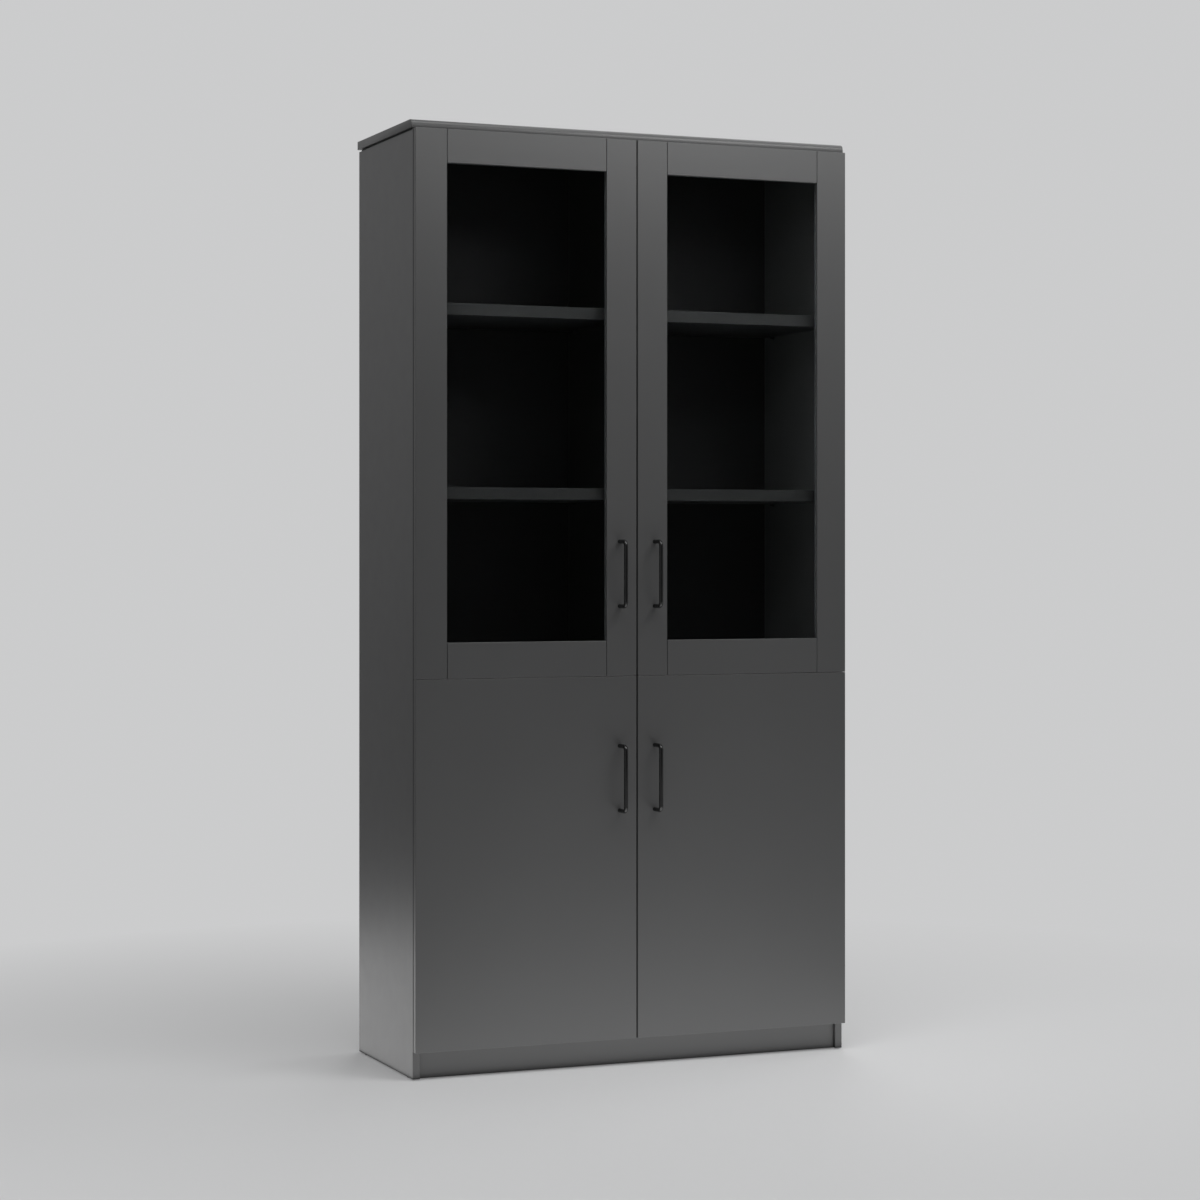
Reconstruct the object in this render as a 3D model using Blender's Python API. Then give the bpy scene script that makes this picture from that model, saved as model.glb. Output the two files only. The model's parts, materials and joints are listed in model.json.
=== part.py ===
"""Display cabinet: two framed glass doors above two solid doors, on a recessed plinth.

Metres, +Z up. The doors face -Y. The origin is at floor level, in the middle of the overall box.
Left and right are as seen by someone who stands in front of the doors.
"""
import math

import bmesh
import bpy
from mathutils import Vector

# Overall sizes
HEIGHT = 2.000               # floor to the upper face of the top board
WIDTH = 1.000                # over the two side panels
CARCASS_DEPTH = 0.366        # front edge to rear edge of a side panel
SPLIT_HEIGHT = 0.8343        # floor to the joint between upper and lower doors

# Carcass boards
SIDE_THICKNESS = 0.016
TOP_THICKNESS = 0.018
TOP_OVERHANG = 0.003         # past the side panels and the rear
TOP_NOSE_RADIUS = 0.012      # round on the upper front edge
TOP_NOSE_STEPS = 7
TOP_EDGE_RADIUS = 0.002      # round on the upper side edges
SHADOW_GROOVE_HEIGHT = 0.0045
SHADOW_GROOVE_DEPTH = 0.006
BOTTOM_THICKNESS = 0.018
MIDDLE_THICKNESS = 0.025
DIVIDER_THICKNESS = 0.016
BACK_THICKNESS = 0.006
BACK_REBATE_WIDTH = 0.008    # lap of a back panel on a side panel
BACK_JOINT = 0.001           # between the two back panels
PLINTH_HEIGHT = 0.058
PLINTH_THICKNESS = 0.016
PLINTH_SETBACK = 0.008
REAR_RAIL_SETBACK = 0.030
BOARD_ROUND = 0.0006         # broken edge of every board
SEAT_GAP = 0.0003            # play between two pieces that touch

# Glides under the side panels
GLIDE_HEIGHT = 0.002
GLIDE_RADIUS = 0.0065
GLIDE_CHAMFER = 0.0008
GLIDE_NAIL_RADIUS = 0.0012
GLIDE_NAIL_LENGTH = 0.012
GLIDE_INSET = 0.040          # from the front and rear edges
GLIDE_SIDES = 20
GLIDE_NAIL_SIDES = 10

# Shelves and their pins
SHELF_THICKNESS = 0.025
SHELF_SETBACK = 0.016        # behind the carcass front
SHELF_REAR_PLAY = 0.003
SHELF_SIDE_PLAY = 0.0008
UPPER_SHELF_COUNT = 2        # per bay
LOWER_SHELF_COUNT = 1
PIN_RADIUS = 0.0025
PIN_REACH = 0.009
PIN_INSET = 0.045            # from the front and rear edges of a shelf
PIN_SIDES = 12

# Doors
DOOR_THICKNESS = 0.016
DOOR_GAP = 0.0014            # between a door and the carcass front
DOOR_REVEAL = 0.0003         # side panel left showing beside a door
DOOR_TOP_GAP = 0.002
DOOR_BOTTOM_GAP = 0.0015     # above the plinth
MEETING_GAP = 0.0025         # between a left and a right door
SPLIT_GAP = 0.0008           # between an upper and a lower door
UPPER_DOOR_COVER = 0.0145    # lap of an upper door on the middle panel
DOOR_REAR_ROUND = 0.004      # rear edge that turns past the side panel
DOOR_REAR_STEPS = 4

# Glazed frames
STILE_WIDTH = 0.069
TOP_RAIL_HEIGHT = 0.070
BOTTOM_RAIL_HEIGHT = 0.075
SEAM_WIDTH = 0.0012          # shadow line between a stile and a rail
SEAM_DEPTH = 0.003
TENON_LENGTH = 0.020
TENON_THICKNESS = 0.006
TENON_SHOULDER = 0.006       # past the glazing rebate
REBATE_WIDTH = 0.008
GLASS_THICKNESS = 0.004
GLASS_PLAY = 0.0008          # around the edge of a pane
BEAD_THICKNESS = 0.004

# Bow handles
HANDLE_DIAMETER = 0.009
HANDLE_PROJECTION = 0.035    # door face to the middle of the bar
HANDLE_CENTRES = 0.138       # between the two feet
HANDLE_BEND_RADIUS = 0.010
HANDLE_FROM_EDGE = 0.0395    # from the meeting edge of the door
HANDLE_FROM_SPLIT = 0.218    # from the door joint to the middle of the handle
HANDLE_SIDES = 12
HANDLE_BEND_STEPS = 5

# Cup hinges
UPPER_HINGE_COUNT = 3        # per door
LOWER_HINGE_COUNT = 2
HINGE_END_DISTANCE = 0.110   # from the door's end to the first hinge
BORE_RADIUS = 0.0175
BORE_TAB = 0.0022            # wood left beside the bore
BORE_SKIN = 0.0024           # wood left in front of the bore
CUP_WALL = 0.0008
CUP_SIDES = 20
FLANGE_WIDTH = 0.0015
FLANGE_THICKNESS = 0.001
FLANGE_CLEARANCE = 0.002     # from the inner face of the side panel
WING_WIDTH = 0.011           # of the strip that carries the two screws of a cup
WING_OFFSET = 0.0095         # from the middle of the cup, away from the door's edge
WING_REACH = 0.0275          # from the middle of the cup to the end of a wing
WING_ROUND = 0.004
WING_SCREW_SPACING = 0.045
SCREW_HOLE_RADIUS = 0.0019
SCREW_HOLE_SIDES = 8
CORNER_STEPS = 3
HINGE_PIN_RADIUS = 0.0012
HINGE_PIN_SIDES = 8
EYE_PLAY = 0.0004            # between the pin and the rolled eye
EYE_WRAP = 285               # degrees that the eye runs round the pin
STRIP_THICKNESS = 0.0012
STRIP_BEND_RADIUS = 0.003
ARC_STEP = 24                # degrees between two points of a bend
PIN_WALL_DISTANCE = 0.004    # from the cup's wall to the pin
PIN_BASE_PLAY = 0.0004       # between the eye and the cup's base
NECK_REACH = 0.016           # from the pin to the strip that runs back
ARM_WIDTH = 0.010
ARM_START = 0.006            # behind the carcass front
ARM_LENGTH = 0.052
STRIP_LAP = 0.013            # of the strip into the arm body
ARM_ROUND = 0.0012
ARM_COVER = 0.0005           # arm body past the strip
PLATE_THICKNESS = 0.002
PLATE_LENGTH = 0.030
PLATE_WIDTH = 0.044
PLATE_ROUND = 0.006
PLATE_SCREW_SPACING = 0.032
PLATE_LAP = 0.0002           # of the arm body into its plate

LEFT = -1
RIGHT = 1
SIDES = {"left": LEFT, "right": RIGHT}

# Places that follow from the sizes
HALF_WIDTH = WIDTH / 2
HALF_INSIDE = HALF_WIDTH - SIDE_THICKNESS
FRONT_REACH = HANDLE_PROJECTION + HANDLE_DIAMETER / 2 + DOOR_THICKNESS + DOOR_GAP
OVERALL_DEPTH = FRONT_REACH + CARCASS_DEPTH + TOP_OVERHANG
CARCASS_FRONT = FRONT_REACH - OVERALL_DEPTH / 2
CARCASS_REAR = CARCASS_FRONT + CARCASS_DEPTH
BACK_FACE = CARCASS_REAR - BACK_THICKNESS
BOARD_REAR = BACK_FACE - SEAT_GAP
DOOR_BACK = CARCASS_FRONT - DOOR_GAP
DOOR_FRONT = DOOR_BACK - DOOR_THICKNESS
TOP_UNDERSIDE = HEIGHT - TOP_THICKNESS
PANEL_FOOT = GLIDE_HEIGHT + SEAT_GAP
PANEL_TOP = TOP_UNDERSIDE - SEAT_GAP
BOTTOM_UNDERSIDE = PLINTH_HEIGHT + SEAT_GAP
BOTTOM_TOP = BOTTOM_UNDERSIDE + BOTTOM_THICKNESS
UPPER_DOOR_FOOT = SPLIT_HEIGHT + SPLIT_GAP / 2
UPPER_DOOR_TOP = TOP_UNDERSIDE - DOOR_TOP_GAP
LOWER_DOOR_FOOT = PLINTH_HEIGHT + DOOR_BOTTOM_GAP
LOWER_DOOR_TOP = SPLIT_HEIGHT - SPLIT_GAP / 2
MIDDLE_TOP = UPPER_DOOR_FOOT + UPPER_DOOR_COVER
MIDDLE_UNDERSIDE = MIDDLE_TOP - MIDDLE_THICKNESS
DOOR_MEETING = HALF_WIDTH - MEETING_GAP / 2
REBATE_DEPTH = GLASS_THICKNESS + BEAD_THICKNESS + 2 * SEAT_GAP
BORE_DEPTH = DOOR_THICKNESS - BORE_SKIN
CUP_RADIUS = BORE_RADIUS - SEAT_GAP
CUP_INSIDE_RADIUS = CUP_RADIUS - CUP_WALL
CUP_CENTRE = DOOR_REVEAL + BORE_TAB + BORE_RADIUS
CUP_INSIDE_DEPTH = BORE_DEPTH - SEAT_GAP - CUP_WALL
EYE_RADIUS = HINGE_PIN_RADIUS + EYE_PLAY + STRIP_THICKNESS / 2
PIN_INWARD = CUP_CENTRE - CUP_INSIDE_RADIUS + PIN_WALL_DISTANCE
PIN_DEPTH = CUP_INSIDE_DEPTH - PIN_BASE_PLAY - EYE_RADIUS - STRIP_THICKNESS / 2
HINGE_Y = DOOR_BACK - PIN_DEPTH
PIN_TO_ARM = PIN_DEPTH + DOOR_GAP + ARM_START


def clear_scene():
    for old in list(bpy.data.objects):
        bpy.data.objects.remove(old, do_unlink=True)


def finish(name, colour, roughness, metallic=0.0, transmission=0.0):
    """Makes one Principled material."""
    material = bpy.data.materials.new(name)
    material.use_nodes = True
    shader = material.node_tree.nodes["Principled BSDF"]
    shader.inputs["Base Color"].default_value = (*colour, 1.0)
    shader.inputs["Roughness"].default_value = roughness
    shader.inputs["Metallic"].default_value = metallic
    shader.inputs["Transmission Weight"].default_value = transmission
    return material


def pivot(name, location):
    """Makes an empty that carries the pieces of one body."""
    empty = bpy.data.objects.new(name, None)
    empty.location = location
    bpy.context.collection.objects.link(empty)
    return empty


def outward(side, inset):
    """Gives the x of a place that lies inset from a side panel's outer face."""
    return side * (HALF_WIDTH - inset)


def span(side, first, second):
    """Gives the lower and higher x of two insets from a side panel's outer face."""
    return sorted((outward(side, first), outward(side, second)))


def box(x, y, z):
    """Makes a box from its three ranges."""
    shape = bmesh.new()
    bmesh.ops.create_cube(shape, size=1.0)
    for axis, (low, high) in enumerate((x, y, z)):
        for vertex in shape.verts:
            vertex.co[axis] = high if vertex.co[axis] > 0 else low
    return shape


def cylinder(centre, radius, length, sides, axis):
    """Makes a closed cylinder that runs along one axis, from its middle."""
    shape = bmesh.new()
    bmesh.ops.create_cone(shape, cap_ends=True, segments=sides, radius1=radius, radius2=radius, depth=length)
    turn = Vector((0, 0, 1)).rotation_difference(Vector(axis)).to_matrix()
    bmesh.ops.rotate(shape, verts=shape.verts, matrix=turn)
    bmesh.ops.translate(shape, verts=shape.verts, vec=centre)
    return shape


def round_edges(shape, radius, segments, test):
    """Rounds the edges whose two ends both pass the test."""
    edges = [edge for edge in shape.edges if all(test(vertex.co) for vertex in edge.verts)]
    bmesh.ops.bevel(
        shape, geom=edges, offset=radius, segments=segments, profile=0.5, affect="EDGES", material=-1
    )


def round_corners(shape, radius, axis):
    """Rounds the edges of a plate that run through its thickness, along one axis."""
    edges = [edge for edge in shape.edges if abs(edge.verts[1].co[axis] - edge.verts[0].co[axis]) > SEAT_GAP]
    bmesh.ops.bevel(
        shape, geom=edges, offset=radius, segments=CORNER_STEPS, profile=0.5, affect="EDGES", material=-1
    )


def board(x, y, z):
    """Makes a board with its edges broken."""
    shape = box(x, y, z)
    round_edges(shape, BOARD_ROUND, 1, lambda place: True)
    return shape


def to_mesh(shape):
    mesh = bpy.data.meshes.new("solid")
    bmesh.ops.recalc_face_normals(shape, faces=shape.faces)
    shape.to_mesh(mesh)
    shape.free()
    return mesh


def combine(base, joined=(), cut=()):
    """Joins shapes to a base shape, then cuts others out, and returns the finished mesh."""
    body = bpy.data.objects.new("body", to_mesh(base))
    bpy.context.collection.objects.link(body)
    tools = []
    for operation, shapes in (("UNION", joined), ("DIFFERENCE", cut)):
        for shape in shapes:
            tool = bpy.data.objects.new("tool", to_mesh(shape))
            bpy.context.collection.objects.link(tool)
            tools.append(tool)
            modifier = body.modifiers.new(operation, "BOOLEAN")
            modifier.operation = operation
            modifier.solver = "EXACT"
            modifier.object = tool
    evaluated = body.evaluated_get(bpy.context.evaluated_depsgraph_get())
    mesh = bpy.data.meshes.new_from_object(evaluated)
    for used in (body, *tools):
        bpy.data.objects.remove(used, do_unlink=True)
    return mesh


def place(name, mesh, material, parent, origin):
    """Makes a named object of a mesh that is already around its own origin."""
    mesh.materials.clear()
    mesh.materials.append(material)
    mesh.shade_smooth()
    mesh.set_sharp_from_angle(angle=math.radians(30))
    piece = bpy.data.objects.new(name, mesh)
    piece.parent = parent
    piece.location = Vector(origin) - parent.location
    bpy.context.collection.objects.link(piece)
    return piece


def put(name, mesh, material, parent):
    """Makes a named object of a mesh drawn where it stands, with its origin in its middle."""
    corners = [vertex.co for vertex in mesh.vertices]
    low = Vector([min(corner[axis] for corner in corners) for axis in range(3)])
    high = Vector([max(corner[axis] for corner in corners) for axis in range(3)])
    middle = (low + high) / 2
    for vertex in mesh.vertices:
        vertex.co -= middle
    return place(name, mesh, material, parent, middle)


def shelf_heights(foot, top, count):
    """Gives the undersides of shelves that part a bay into equal clear heights."""
    clear = (top - foot - count * SHELF_THICKNESS) / (count + 1)
    return [foot + (row + 1) * clear + row * SHELF_THICKNESS for row in range(count)]


def all_shelf_heights():
    upper = shelf_heights(MIDDLE_TOP, TOP_UNDERSIDE, UPPER_SHELF_COUNT)
    lower = shelf_heights(BOTTOM_TOP, MIDDLE_UNDERSIDE, LOWER_SHELF_COUNT)
    return {"upper": upper, "lower": lower}


def shelf_range():
    """Gives the front and rear of a shelf."""
    return CARCASS_FRONT + SHELF_SETBACK, BOARD_REAR - SHELF_REAR_PLAY


def shelf_pins(start, reach, heights):
    """Makes the pins of one board face, which starts at x and reaches along x."""
    front, rear = shelf_range()
    root = -math.copysign(PIN_RADIUS, reach)
    pins = []
    for height in heights:
        for y in (front + PIN_INSET, rear - PIN_INSET):
            centre = (start + (root + reach) / 2, y, height - SEAT_GAP - PIN_RADIUS)
            pins.append(cylinder(centre, PIN_RADIUS, abs(reach - root), PIN_SIDES, (1, 0, 0)))
    return pins


def glide_places(side):
    x = outward(side, SIDE_THICKNESS / 2)
    return {"front": (x, CARCASS_FRONT + GLIDE_INSET), "rear": (x, CARCASS_REAR - GLIDE_INSET)}


def side_panel(side, heights):
    """Side panel with a rebate for the back, a groove under the top board and its shelf pins."""
    shape = board(span(side, 0, SIDE_THICKNESS), (CARCASS_FRONT, CARCASS_REAR), (PANEL_FOOT, PANEL_TOP))
    past = SIDE_THICKNESS
    rebate = box(
        span(side, SIDE_THICKNESS - BACK_REBATE_WIDTH, SIDE_THICKNESS + past),
        (BOARD_REAR, CARCASS_REAR + past),
        (PANEL_FOOT - past, PANEL_TOP + past),
    )
    groove = box(
        span(side, -past, SHADOW_GROOVE_DEPTH),
        (CARCASS_FRONT - past, CARCASS_REAR + past),
        (PANEL_TOP - SHADOW_GROOVE_HEIGHT, PANEL_TOP + past),
    )
    bores = []
    for x, y in glide_places(side).values():
        depth = 2 * (GLIDE_NAIL_LENGTH + SEAT_GAP)
        bore = cylinder((x, y, PANEL_FOOT), GLIDE_NAIL_RADIUS + SEAT_GAP, depth, GLIDE_NAIL_SIDES, (0, 0, 1))
        bores.append(bore)
    every = heights["upper"] + heights["lower"]
    pins = shelf_pins(outward(side, SIDE_THICKNESS), -side * PIN_REACH, every)
    return combine(shape, pins, [rebate, groove, *bores])


def glide():
    """Nail-in glide: a round foot with a chamfer below and its nail above."""
    foot = cylinder((0, 0, GLIDE_HEIGHT / 2), GLIDE_RADIUS, GLIDE_HEIGHT, GLIDE_SIDES, (0, 0, 1))
    round_edges(foot, GLIDE_CHAMFER, 1, lambda place: place.z < GLIDE_HEIGHT / 2)
    length = GLIDE_NAIL_LENGTH + GLIDE_HEIGHT / 2
    middle = (0, 0, GLIDE_HEIGHT / 2 + length / 2)
    nail = cylinder(middle, GLIDE_NAIL_RADIUS, length, GLIDE_NAIL_SIDES, (0, 0, 1))
    return combine(foot, [nail])


def top_board():
    """Top board with a round nose in front and softer side edges."""
    half = HALF_WIDTH + TOP_OVERHANG
    shape = box((-half, half), (CARCASS_FRONT, CARCASS_REAR + TOP_OVERHANG), (TOP_UNDERSIDE, HEIGHT))
    near = BOARD_ROUND / 2
    round_edges(
        shape, TOP_NOSE_RADIUS, TOP_NOSE_STEPS,
        lambda place: place.z > HEIGHT - near and place.y < CARCASS_FRONT + near,
    )
    round_edges(
        shape, TOP_EDGE_RADIUS, 2, lambda place: place.z > HEIGHT - near and abs(place.x) > half - near
    )
    return to_mesh(shape)


def divider(foot, top, heights):
    """Upright board in the middle of the cabinet, with shelf pins on both faces."""
    half = DIVIDER_THICKNESS / 2
    shape = board((-half, half), (CARCASS_FRONT, BOARD_REAR), (foot + SEAT_GAP, top - SEAT_GAP))
    pins = shelf_pins(-half, -PIN_REACH, heights) + shelf_pins(half, PIN_REACH, heights)
    return combine(shape, pins)


def build_carcass(carcass, lacquer, inner, backing, nylon):
    heights = all_shelf_heights()
    for word, side in SIDES.items():
        put(f"{word}_side_panel", side_panel(side, heights), lacquer, carcass)
        for end, (x, y) in glide_places(side).items():
            place(f"{end}_{word}_glide", glide(), nylon, carcass, (x, y, 0))
    put("top_board", top_board(), lacquer, carcass)
    across = (-HALF_INSIDE + SEAT_GAP, HALF_INSIDE - SEAT_GAP)
    through = (CARCASS_FRONT, BOARD_REAR)
    bottom = board(across, through, (BOTTOM_UNDERSIDE, BOTTOM_TOP))
    put("bottom_panel", to_mesh(bottom), inner, carcass)
    middle = board(across, through, (MIDDLE_UNDERSIDE, MIDDLE_TOP))
    put("middle_panel", to_mesh(middle), inner, carcass)
    put("upper_divider", divider(MIDDLE_TOP, TOP_UNDERSIDE, heights["upper"]), inner, carcass)
    put("lower_divider", divider(BOTTOM_TOP, MIDDLE_UNDERSIDE, heights["lower"]), inner, carcass)
    plinth_front = CARCASS_FRONT + PLINTH_SETBACK
    plinth = board(across, (plinth_front, plinth_front + PLINTH_THICKNESS), (PANEL_FOOT, PLINTH_HEIGHT))
    put("plinth_board", to_mesh(plinth), lacquer, carcass)
    rail_rear = BOARD_REAR - REAR_RAIL_SETBACK
    rail = board(across, (rail_rear - PLINTH_THICKNESS, rail_rear), (PANEL_FOOT, PLINTH_HEIGHT))
    put("rear_plinth_rail", to_mesh(rail), inner, carcass)
    half_back = HALF_INSIDE + BACK_REBATE_WIDTH - SEAT_GAP
    joint = (MIDDLE_TOP + MIDDLE_UNDERSIDE) / 2
    for name, foot, top in (
        ("lower_back_panel", BOTTOM_UNDERSIDE, joint - BACK_JOINT / 2),
        ("upper_back_panel", joint + BACK_JOINT / 2, PANEL_TOP),
    ):
        back = board((-half_back, half_back), (BACK_FACE, CARCASS_REAR), (foot, top))
        put(name, to_mesh(back), backing, carcass)
    build_shelves(carcass, inner, heights)


def build_shelves(carcass, inner, heights):
    """Loose shelves, each on four pins between a side panel and a divider."""
    from_side = SIDE_THICKNESS + SHELF_SIDE_PLAY
    from_divider = HALF_WIDTH - DIVIDER_THICKNESS / 2 - SHELF_SIDE_PLAY
    for level, undersides in heights.items():
        for row, underside in enumerate(undersides, 1):
            for word, side in SIDES.items():
                shape = board(
                    span(side, from_side, from_divider),
                    shelf_range(),
                    (underside, underside + SHELF_THICKNESS),
                )
                put(f"{level}_{word}_shelf_{row}", to_mesh(shape), inner, carcass)


def hinge_heights(foot, top, count):
    """Spreads hinges evenly between the two end hinges of a door."""
    first = foot + HINGE_END_DISTANCE
    step = (top - foot - 2 * HINGE_END_DISTANCE) / (count - 1)
    return [first + step * number for number in range(count)]


def hinge_bores(side, heights):
    """Makes the cutters for the cups of one door."""
    x = outward(side, CUP_CENTRE)
    return [cylinder((x, DOOR_BACK, z), BORE_RADIUS, 2 * BORE_DEPTH, CUP_SIDES, (0, 1, 0)) for z in heights]


def door_blank(side, inset, z, at_hinge):
    """Makes a flat door piece, with a round where its hinged edge turns past the side panel."""
    x = span(side, *inset)
    shape = box(x, (DOOR_FRONT, DOOR_BACK), z)
    near = BOARD_ROUND / 2
    if at_hinge:
        edge = abs(outward(side, inset[0]))
        round_edges(
            shape, DOOR_REAR_ROUND, DOOR_REAR_STEPS,
            lambda place: abs(place.x) > edge - near and place.y > DOOR_BACK - near,
        )
    round_edges(shape, BOARD_ROUND, 2, lambda place: place.y < DOOR_FRONT + near)
    return shape


def rail_ranges():
    """Gives the height range of each rail of a glazed door."""
    return {
        "bottom": (UPPER_DOOR_FOOT, UPPER_DOOR_FOOT + BOTTOM_RAIL_HEIGHT),
        "top": (UPPER_DOOR_TOP - TOP_RAIL_HEIGHT, UPPER_DOOR_TOP),
    }


def tenon_range(rail):
    """Gives the height range of a tenon, clear of the rebate on the rail's glass side."""
    shoulder = REBATE_WIDTH + TENON_SHOULDER
    low, high = rail_ranges()[rail]
    return low + shoulder, high - shoulder


def tenon_depth(play):
    """Gives the front and rear of a tenon, or of its mortise when there is play."""
    middle = (DOOR_FRONT + DOOR_BACK) / 2
    half = TENON_THICKNESS / 2 + play
    return middle - half, middle + half


def sight_opening():
    """Gives the glass opening as an inset range and a height range."""
    inset = (DOOR_REVEAL + STILE_WIDTH, DOOR_MEETING - STILE_WIDTH)
    rails = rail_ranges()
    return inset, (rails["bottom"][1], rails["top"][0])


def grown(limits, amount):
    return limits[0] - amount, limits[1] + amount


def glazing_rebate(side):
    """Makes the cutter for the rebate that holds the pane and its bead."""
    inset, z = sight_opening()
    depth = (DOOR_BACK - REBATE_DEPTH, DOOR_BACK + REBATE_DEPTH)
    return box(span(side, *grown(inset, REBATE_WIDTH)), depth, grown(z, REBATE_WIDTH))


def stile(side, inset, at_hinge, bores):
    """Upright of a glazed frame, with mortises for the rails."""
    shape = door_blank(side, inset, (UPPER_DOOR_FOOT, UPPER_DOOR_TOP), at_hinge)
    cuts = [glazing_rebate(side), *bores]
    deep = TENON_LENGTH + SEAT_GAP
    mouth = inset[1] if at_hinge else inset[0]
    for rail in ("bottom", "top"):
        low, high = grown(tenon_range(rail), SEAT_GAP)
        cuts.append(box(span(side, mouth - deep, mouth + deep), tenon_depth(SEAT_GAP), (low, high)))
    return combine(shape, cut=cuts)


def seam_cutters(side, which):
    """Makes the cutters for the shadow line at both ends of a rail."""
    opening, _ = sight_opening()
    depth = grown((DOOR_FRONT, DOOR_FRONT), SEAM_DEPTH)
    height = grown(rail_ranges()[which], SEAM_DEPTH)
    return [box(span(side, *grown((end, end), SEAM_WIDTH)), depth, height) for end in opening]


def rail(side, which):
    """Cross piece of a glazed frame, with a tenon at each end."""
    opening, _ = sight_opening()
    inset = grown(opening, -SEAT_GAP)
    shape = door_blank(side, inset, rail_ranges()[which], False)
    tenon = box(span(side, *grown(opening, TENON_LENGTH)), tenon_depth(0), tenon_range(which))
    return combine(shape, [tenon], [glazing_rebate(side), *seam_cutters(side, which)])


def pane(side):
    inset, z = sight_opening()
    lap = REBATE_WIDTH - GLASS_PLAY
    front = DOOR_BACK - REBATE_DEPTH + SEAT_GAP
    return to_mesh(box(span(side, *grown(inset, lap)), (front, front + GLASS_THICKNESS), grown(z, lap)))


def glazing_bead(side):
    """Frame of bead behind the pane, flush with the back of the door."""
    inset, z = sight_opening()
    lap = REBATE_WIDTH - SEAT_GAP
    depth = (DOOR_BACK - BEAD_THICKNESS, DOOR_BACK)
    shape = box(span(side, *grown(inset, lap)), depth, grown(z, lap))
    hole = box(span(side, *inset), grown(depth, BEAD_THICKNESS), z)
    return combine(shape, cut=[hole])


def bow_handle():
    """Round bar bent to a bow, drawn from foot to foot with its middle on the door face."""
    bend = HANDLE_BEND_RADIUS
    half = HANDLE_CENTRES / 2
    route = [(0, -SEAT_GAP, -half)]
    for end in (-1, 1):
        turns = range(HANDLE_BEND_STEPS + 1)
        arc = []
        for turn in turns:
            angle = math.radians(90) * turn / HANDLE_BEND_STEPS
            y = -HANDLE_PROJECTION + bend * (1 - math.sin(angle))
            arc.append((0, y, end * (half - bend * (1 - math.cos(angle)))))
        route += arc if end < 0 else arc[::-1]
    route.append((0, -SEAT_GAP, half))
    curve = bpy.data.curves.new("bow_handle", "CURVE")
    curve.dimensions = "3D"
    curve.bevel_depth = HANDLE_DIAMETER / 2
    curve.bevel_resolution = (HANDLE_SIDES - 4) // 2
    curve.use_fill_caps = True
    spline = curve.splines.new("POLY")
    spline.points.add(len(route) - 1)
    for point, corner in zip(spline.points, route):
        point.co = (*corner, 1)
    return curve


def mirrored(shape, side):
    """Turns a hinge piece that is drawn for the left side into one for the given side."""
    if side == RIGHT:
        bmesh.ops.scale(shape, vec=(-1, 1, 1), verts=shape.verts)
        bmesh.ops.reverse_faces(shape, faces=shape.faces)
    return shape


def cup_bowl():
    """Turned bowl of a hinge cup with its flange, around the hinge pin."""
    centre = CUP_CENTRE - PIN_INWARD
    base = PIN_DEPTH - CUP_INSIDE_DEPTH
    rim = PIN_DEPTH + SEAT_GAP + FLANGE_THICKNESS
    profile = (
        (0, base),
        (CUP_INSIDE_RADIUS, base),
        (CUP_INSIDE_RADIUS, rim),
        (CUP_RADIUS + FLANGE_WIDTH, rim),
        (CUP_RADIUS + FLANGE_WIDTH, rim - FLANGE_THICKNESS),
        (CUP_RADIUS, rim - FLANGE_THICKNESS),
        (CUP_RADIUS, base - CUP_WALL),
        (0, base - CUP_WALL),
    )
    shape = bmesh.new()
    points = [shape.verts.new((centre + radius, y, 0)) for radius, y in profile]
    edges = [shape.edges.new(pair) for pair in zip(points, points[1:])]
    bmesh.ops.spin(
        shape, geom=points + edges, cent=(centre, 0, 0), axis=(0, 1, 0), angle=math.tau, steps=CUP_SIDES,
        use_merge=True,
    )
    bmesh.ops.remove_doubles(shape, verts=shape.verts, dist=SEAT_GAP / 10)
    return shape


def screw_holes(x, y, spacing, axis):
    """Makes the cutters for the two screws of a hinge piece, one above the other."""
    length = 4 * max(FLANGE_THICKNESS, PLATE_THICKNESS)
    places = [(x, y, end * spacing / 2) for end in (-1, 1)]
    return [cylinder(place, SCREW_HOLE_RADIUS, length, SCREW_HOLE_SIDES, axis) for place in places]


def hinge_cup(side):
    """Hinge cup: bowl, two screw wings on the back of the door, and the pin across the bowl."""
    centre = CUP_CENTRE - PIN_INWARD
    flange_start = SIDE_THICKNESS + FLANGE_CLEARANCE - PIN_INWARD
    seat = PIN_DEPTH + SEAT_GAP
    reach = CUP_RADIUS + WING_REACH
    trim = box((-reach, flange_start), (PIN_DEPTH, PIN_DEPTH + reach), (-reach, reach))
    mouth_radius = CUP_INSIDE_RADIUS + CUP_WALL / 3
    mouth_middle = (centre, seat + FLANGE_THICKNESS, 0)
    mouth = cylinder(mouth_middle, mouth_radius, 3 * FLANGE_THICKNESS, CUP_SIDES, (0, 1, 0))
    pin_half = math.sqrt((CUP_RADIUS - CUP_WALL / 4) ** 2 - (centre + HINGE_PIN_RADIUS) ** 2)
    pin = cylinder((0, 0, 0), HINGE_PIN_RADIUS, 2 * pin_half, HINGE_PIN_SIDES, (0, 0, 1))
    middle = centre + WING_OFFSET
    wings = box(
        (middle - WING_WIDTH / 2, middle + WING_WIDTH / 2),
        (seat, seat + FLANGE_THICKNESS),
        (-WING_REACH, WING_REACH),
    )
    round_corners(wings, WING_ROUND, 1)
    cuts = [trim, mouth, *screw_holes(middle, seat, WING_SCREW_SPACING, (0, 1, 0))]
    joined = [mirrored(shape, side) for shape in (pin, wings)]
    return combine(mirrored(cup_bowl(), side), joined, [mirrored(cut, side) for cut in cuts])


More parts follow.
